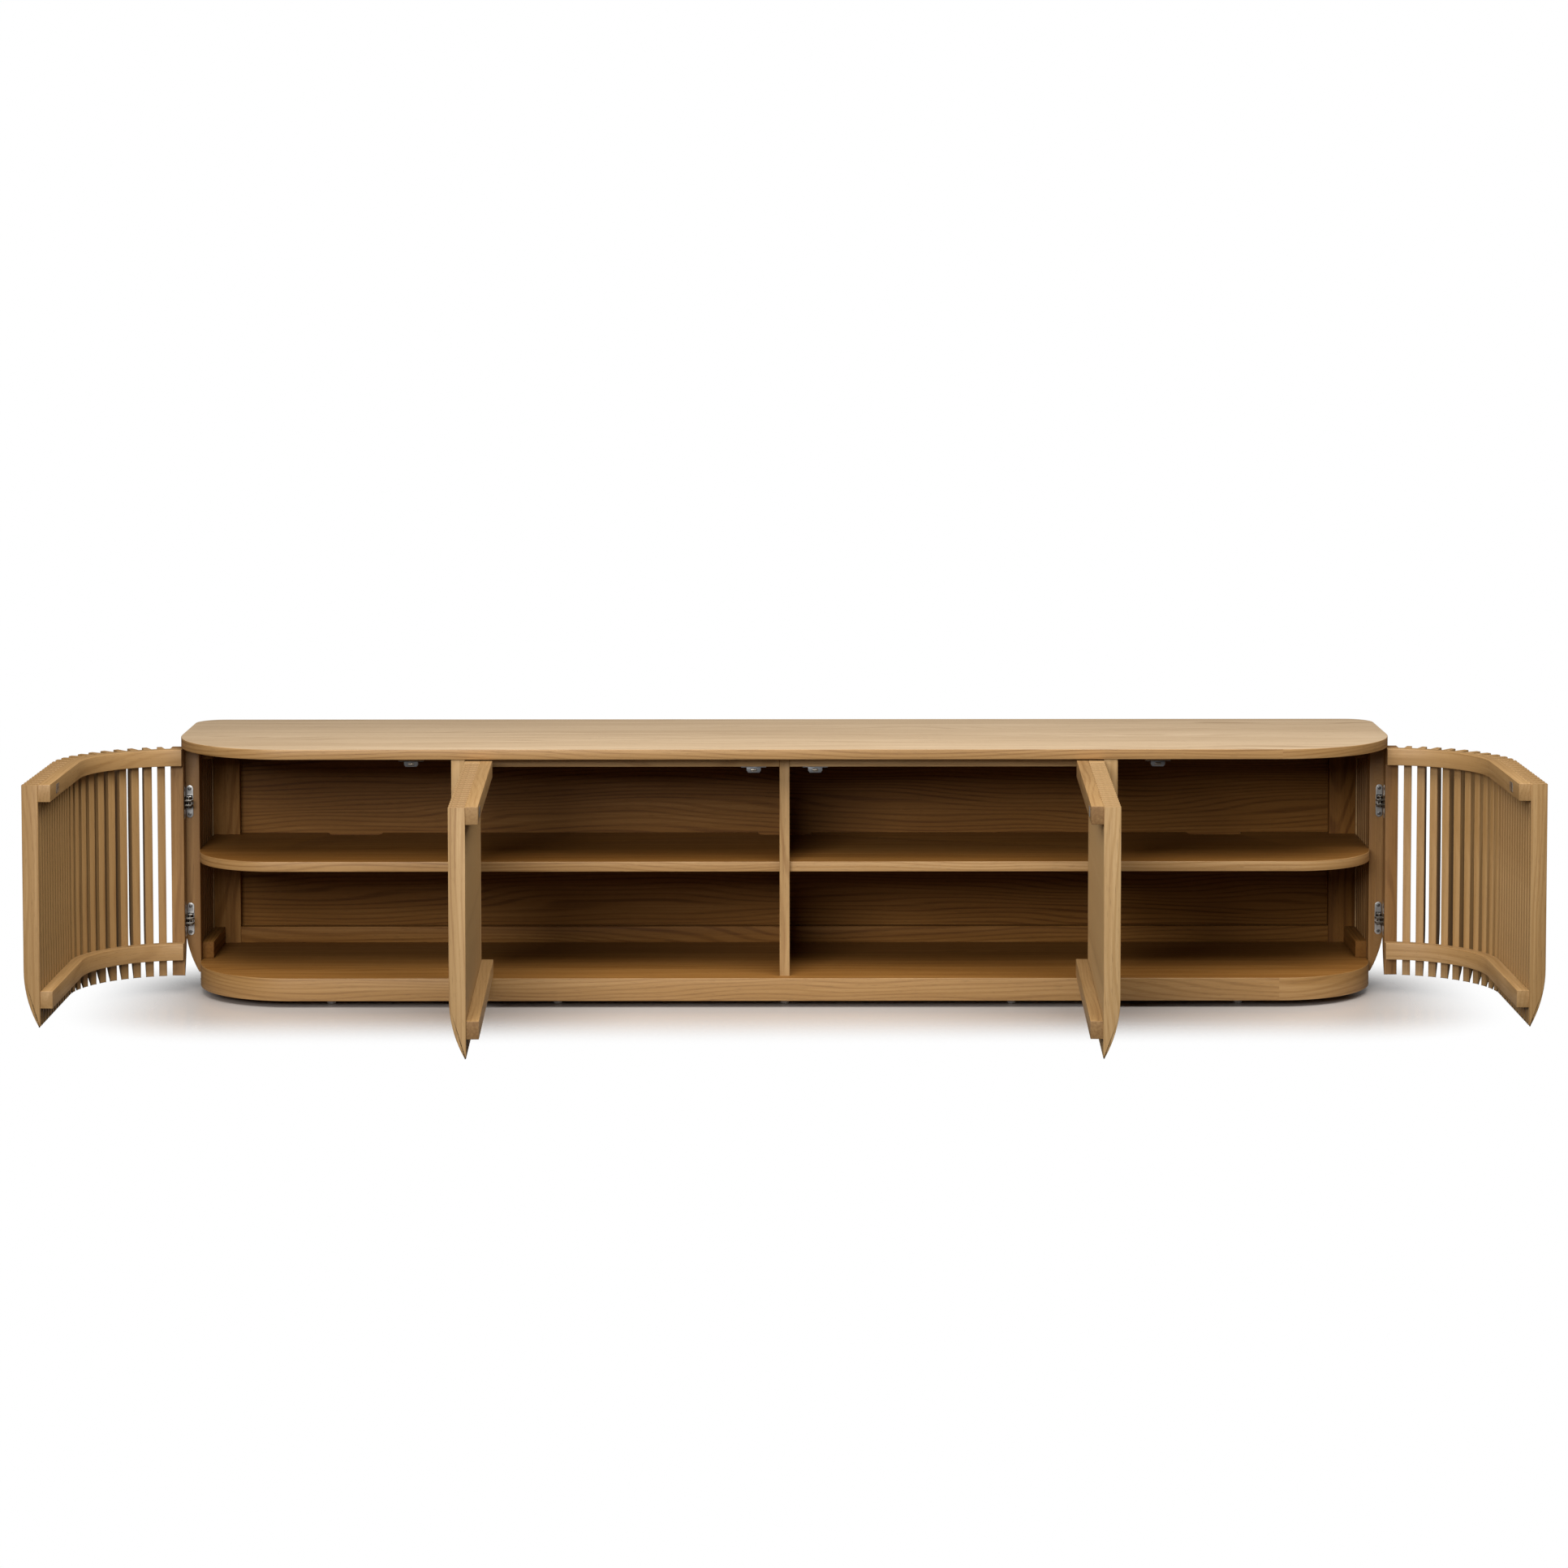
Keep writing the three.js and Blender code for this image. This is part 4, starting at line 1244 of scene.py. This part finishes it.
# %% [markdown]
# Now each seat gets its cup, its links and its screws. What belongs to the door is built at
# the shut seat and then moved with the same matrix as the door itself.

# %% Eight hinges
for (kind, word), seats in SEATS.items():
    matrix = OPEN[(kind, word)]
    door_body = f"door_{kind}_{word}"
    for level, z in HINGE_LEVELS.items():
        post_cup = hinge_cup(f"post_cup_{kind}_{word}_{level}", seats["post"], z)
        keep(post_cup, "cabinet", f"hinge_post_cup_{kind}_{word}_{level}", slot="hinge_metal")
        door_cup = place_on_door(hinge_cup(f"door_cup_{kind}_{word}_{level}", seats["door"], z), matrix)
        keep(door_cup, door_body, f"{door_body}_hinge_cup_{level}", slot="hinge_metal")
        tag = f"{kind}_{word}_{level}"
        post_links = hinge_links(f"post_links_{tag}", seats["post"], z, LINK_REACH[kind], LINK_LEVELS["post"])
        keep(post_links, "cabinet", slot="hinge_metal")
        door_links = hinge_links(f"door_links_{tag}", seats["door"], z, LINK_REACH[kind], LINK_LEVELS["door"])
        keep(place_on_door(door_links, matrix), door_body, slot="hinge_metal")
    keep(screws(f"post_screws_{kind}_{word}", seats["post"]), "cabinet", slot="hinge_metal")
    door_screws = place_on_door(screws(f"door_screws_{kind}_{word}", seats["door"]), matrix)
    keep(door_screws, door_body, slot="hinge_metal")
print("eight hinges made")

# %% [markdown]
# A sprung catch hangs under the top behind each door: a flange with two screws, a cast body
# with sloping cheeks, and a roller that the striker plate on the door rides over.

# %% Catches
CATCH_HEIGHT = 11 * MM
FLANGE_THICK = 1.4 * MM
BODY_HALF = 13 * MM
CHEEK_SLOPE = (3 * MM, 4 * MM)
BODY_SPAN = (1.5 * MM, 14 * MM)
ROLLER_HALF = 5.5 * MM
ROLLER_PLACE = (3.6 * MM, 5 * MM)
CATCH_SCREW_X = 17.5 * MM
ROLLER_PROFILE = [(0, -ROLLER_HALF), (2.6 * MM, -ROLLER_HALF), (3.2 * MM, -ROLLER_HALF + 0.6 * MM),
                  (3.5 * MM, 0), (3.2 * MM, ROLLER_HALF - 0.6 * MM), (2.6 * MM, ROLLER_HALF),
                  (0, ROLLER_HALF)]
CATCH_SCREW_PROFILE = [(0, -1.3 * MM), (1.4 * MM, -1.25 * MM), (2.4 * MM, -0.7 * MM), (2.6 * MM, 0),
                       (0, 0)]


def catch_body_outline(middle, low, top):
    """The cheeks slope in below, so that the striker is led onto the roller."""
    in_by, up_by = CHEEK_SLOPE
    left, right = middle - BODY_HALF, middle + BODY_HALF
    return [(left + in_by, low), (right - in_by, low), (right, low + up_by), (right, top), (left, top),
            (left, low + up_by)]


def catch(kind, word):
    node = f"catch_{kind}_{word}"
    low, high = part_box(node)
    spacer = high.z - low.z - CATCH_HEIGHT
    flange_top = high.z - spacer
    middle = (low.x + high.x) / 2
    footprint = rectangle(low.x, high.x, low.y + MM, high.y)
    pieces = [board("flange", footprint, flange_top - FLANGE_THICK, flange_top, CATCH_ZINC, 0.4 * MM)]
    body = catch_body_outline(middle, low.z, flange_top - MM)
    near, far = (low.y + distance for distance in BODY_SPAN)
    pieces.append(board("body", body, -far, -near, CATCH_ZINC, 0.8 * MM, turn=WALL_ALONG))
    back, up = ROLLER_PLACE
    spot = Matrix.Translation((middle, low.y + back, low.z + up)) @ Matrix.Rotation(math.pi / 2, 4, "Y")
    pieces.append(turned("roller", ROLLER_PROFILE, LINK_STEEL, 20, turn=spot))
    for end in (-1, 1):
        place = (middle + end * CATCH_SCREW_X, (low.y + high.y) / 2, flange_top - FLANGE_THICK)
        pieces.append(turned("screw", CATCH_SCREW_PROFILE, SCREW_STEEL, 16, turn=Matrix.Translation(place)))
    if spacer > MM:
        pieces.append(board("spacer", footprint, flange_top, high.z, OAK_SOLID, 0.5 * MM))
    return keep(joined(f"catch_parts_{kind}_{word}", pieces), "cabinet", node, slot="catch_grey")


print("catches ready")

# %% [markdown]
# The striker is a thin nickel plate on the back of the door's top rail, held by two
# round-headed screws, where the roller meets it.

# %% Strikers
STRIKER_WIDTH = 24 * MM
STRIKER_HEIGHT = 16 * MM
STRIKER_THICK = 1 * MM
STRIKER_SCREW_X = 7 * MM
STRIKER_SCREW_PROFILE = [(0, 0), (2.2 * MM, 0), (2.0 * MM, 0.5 * MM), (1.2 * MM, 0.8 * MM), (0, 0.9 * MM)]
CATCH_X = {"inner": 55 * MM, "outer": 668 * MM}


def striker(kind, word, side):
    body = f"door_{kind}_{word}"
    x = side * CATCH_X[kind]
    z = DOOR_TOP - RAIL_HEIGHT / 2
    face = FRONT + RAIL_INNER + FIT
    half_width, half_height = STRIKER_WIDTH / 2, STRIKER_HEIGHT / 2
    plate = rectangle(x - half_width, x + half_width, z - half_height, z + half_height)
    pieces = [board("plate", plate, -(face + STRIKER_THICK), -face, NICKEL, 0.3 * MM, turn=WALL_ALONG)]
    for end in (-1, 1):
        spot = Matrix.Translation((x + end * STRIKER_SCREW_X, face + 0.3 * MM, z))
        spot = spot @ Matrix.Rotation(-math.pi / 2, 4, "X")
        pieces.append(turned("screw", STRIKER_SCREW_PROFILE, SCREW_STEEL, 14, turn=spot))
    piece = place_on_door(joined(f"{body}_striker_plate", pieces), OPEN[(kind, word)])
    return keep(piece, body, f"{body}_striker", slot="catch_grey")


for kind in CATCH_X:
    for word, side in SIDES.items():
        catch(kind, word)
        striker(kind, word, side)
print("catches and strikers made")

# %% [markdown]
# Ten glides carry the plinth just clear of the floor. They are alike and stand in two rows,
# so a small tree sets them out from one turned piece.

# %% Glides
def glide_tree():
    inputs = {"Count": "Int", "In a row": "Float", "Spacing": "Float", "Front": "Float", "Back": "Float",
              "Seed": "Int", "Material": "Material"}
    graph, wires, identifiers = new_tree("two_rows_of_glides", inputs)
    index = graph.add("GeometryNodeInputIndex")
    row = (index / wires["In a row"]).math("FLOOR")
    place = index - row * wires["In a row"]
    x = (place - (wires["In a row"] - 1.0) * 0.5) * wires["Spacing"]
    y = wires["Front"] + row * (wires["Back"] - wires["Front"])
    position = graph.add("ShaderNodeCombineXYZ", None, {0: x, 1: y})
    copies_at(graph, wires, position, row * 0.0)
    return graph.tree, identifiers


GLIDE_TREE, GLIDE_SOCKETS = glide_tree()
glide_nodes = [node for node in frame["nodes"] if node.startswith("glide_")]
front_low, front_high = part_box("glide_front_1")
back_glide_low, back_glide_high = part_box("glide_back_1")
glide_radius = (front_high.x - front_low.x) / 2
glide_height = front_high.z
glide_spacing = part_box("glide_front_2")[0].x - front_low.x
glide_profile = [(0, 0), (glide_radius - 1.6 * MM, 0), (glide_radius - 0.5 * MM, 0.5 * MM),
                 (glide_radius, 1.8 * MM), (glide_radius - 0.2 * MM, 6 * MM),
                 (glide_radius - 1.4 * MM, glide_height - MM), (glide_radius - 1.4 * MM, glide_height),
                 (0, glide_height)]
glide = turned("one_glide", glide_profile, NYLON, 28)
glide_values = {"Count": len(glide_nodes), "In a row": len(glide_nodes) / 2, "Spacing": glide_spacing,
                "Front": (front_low.y + front_high.y) / 2, "Back": (back_glide_low.y + back_glide_high.y) / 2,
                "Seed": 1, "Material": NYLON}
glides = laid_out("floor_glides", glide, GLIDE_TREE, GLIDE_SOCKETS, glide_values)
keep(glides, "cabinet", *glide_nodes, slot="glide_white")
print(len(glide_nodes), "glides set out")

# %% [markdown]
# The floor is plain and pale, with a soft gloss that mirrors the plinth a little. It has to
# run out to white on every side, so its cover fades over a hand's breadth or two round the
# cabinet and the white surroundings show beyond. Its colour is darker than that white, so the
# patch round the plinth is partly a painted soft shadow, on top of the shadows the lamps cast.

# %% Floor
FLOOR_RADIUS = 2.0
SHADOW_PATCH_Y = FRONT + 110 * MM
SHADOW_PATCH_HALF = (HALF - FRONT_RADIUS / 2, 110 * MM, 0.0)


def make_floor():
    material, graph = new_material("studio_floor")
    place = graph.add("ShaderNodeTexCoord", None, None, "Object")
    folded = place.vector("SUBTRACT", (0.0, SHADOW_PATCH_Y, 0.0)).vector("ABSOLUTE", (0, 0, 0))
    beyond = folded.vector("SUBTRACT", SHADOW_PATCH_HALF).vector("MAXIMUM", (0, 0, 0))
    distance = graph.add("ShaderNodeVectorMath", {"operation": "LENGTH"}, {0: beyond}, "Value")
    # The cover keeps the grey floor near the front of the cabinet and fades it out: partly a painted soft
    # shadow.
    cover = ramp(graph, distance, 0.02, 0.30, 1.0, 0.0)
    finish_material(graph, {"Base Color": (0.50, 0.455, 0.42, 1), "Roughness": 0.20,
                            "Specular IOR Level": 0.4, "Alpha": cover})
    bpy.ops.mesh.primitive_circle_add(vertices=96, radius=FLOOR_RADIUS, fill_type="NGON")
    floor = bpy.context.object
    floor.name = "studio_floor"
    floor.data.materials.append(material)


make_floor()
print("floor fades out round the cabinet")

# %% [markdown]
# One broad softbox hangs high in front and a smaller one stands far off to the left, with a
# little light from everywhere else. The shelves stay dark, because the top board shades them
# and the inside oak is darkened as painted shade as well.

# %% Light
def softbox(name, place, target, size, power):
    light = bpy.data.lights.new(name, "AREA")
    light.shape = "RECTANGLE"
    light.size, light.size_y = size
    light.energy = power
    lamp = bpy.data.objects.new(name, light)
    lamp.location = place
    lamp.rotation_euler = (Vector(target) - Vector(place)).to_track_quat("-Z", "Y").to_euler()
    bpy.context.scene.collection.objects.link(lamp)


def make_world(around, seen):
    world = bpy.data.worlds.new("studio")
    bpy.context.scene.world = world
    world.use_nodes = True
    world.node_tree.nodes.clear()
    graph = Graph(world.node_tree)
    direct = graph.add("ShaderNodeLightPath", None, None, "Is Camera Ray")
    strength = direct * (seen - around) + around
    background = graph.add("ShaderNodeBackground", None, {"Color": (1, 1, 1, 1), "Strength": strength})
    graph.add("ShaderNodeOutputWorld", None, {"Surface": background})


softbox("overhead_softbox", (0.3, -1.3, 3.6), (0.0, 0.1, 0.0), (5.2, 3.2), 290.0)
softbox("front_softbox", (-1.6, -5.6, 2.3), (0.0, 0.0, 0.3), (3.0, 1.6), 230.0)
make_world(around=0.07, seen=1.0)
bpy.context.scene.view_settings.view_transform = "Standard"
print("two softboxes and a dim white surround")

# %% [markdown]
# The camera stands far back with a long lens, a little above the top board. Its frame is
# slid down rather than tilted, which keeps the uprights upright.

# %% Camera
SENSOR = 36.0
LENS = 94.61
FRAME_SHIFT = -0.1971
CAMERA_HEIGHT = 1.4304
CAMERA_BACK = 7.2673
PITCH_DOWN = math.radians(3.724)

camera_data = bpy.data.cameras.new("camera")
camera_data.sensor_width = SENSOR
camera_data.lens = LENS
camera_data.shift_y = FRAME_SHIFT
camera_data.clip_end = 100
camera = bpy.data.objects.new("camera", camera_data)
camera.location = (0, FRONT - CAMERA_BACK, CAMERA_HEIGHT)
camera.rotation_euler = (math.pi / 2 - PITCH_DOWN, math.radians(0.046), 0)
bpy.context.scene.collection.objects.link(camera)
bpy.context.scene.camera = camera
print(f"camera lens {camera_data.lens:.1f} mm, shift {camera_data.shift_y:.3f}")
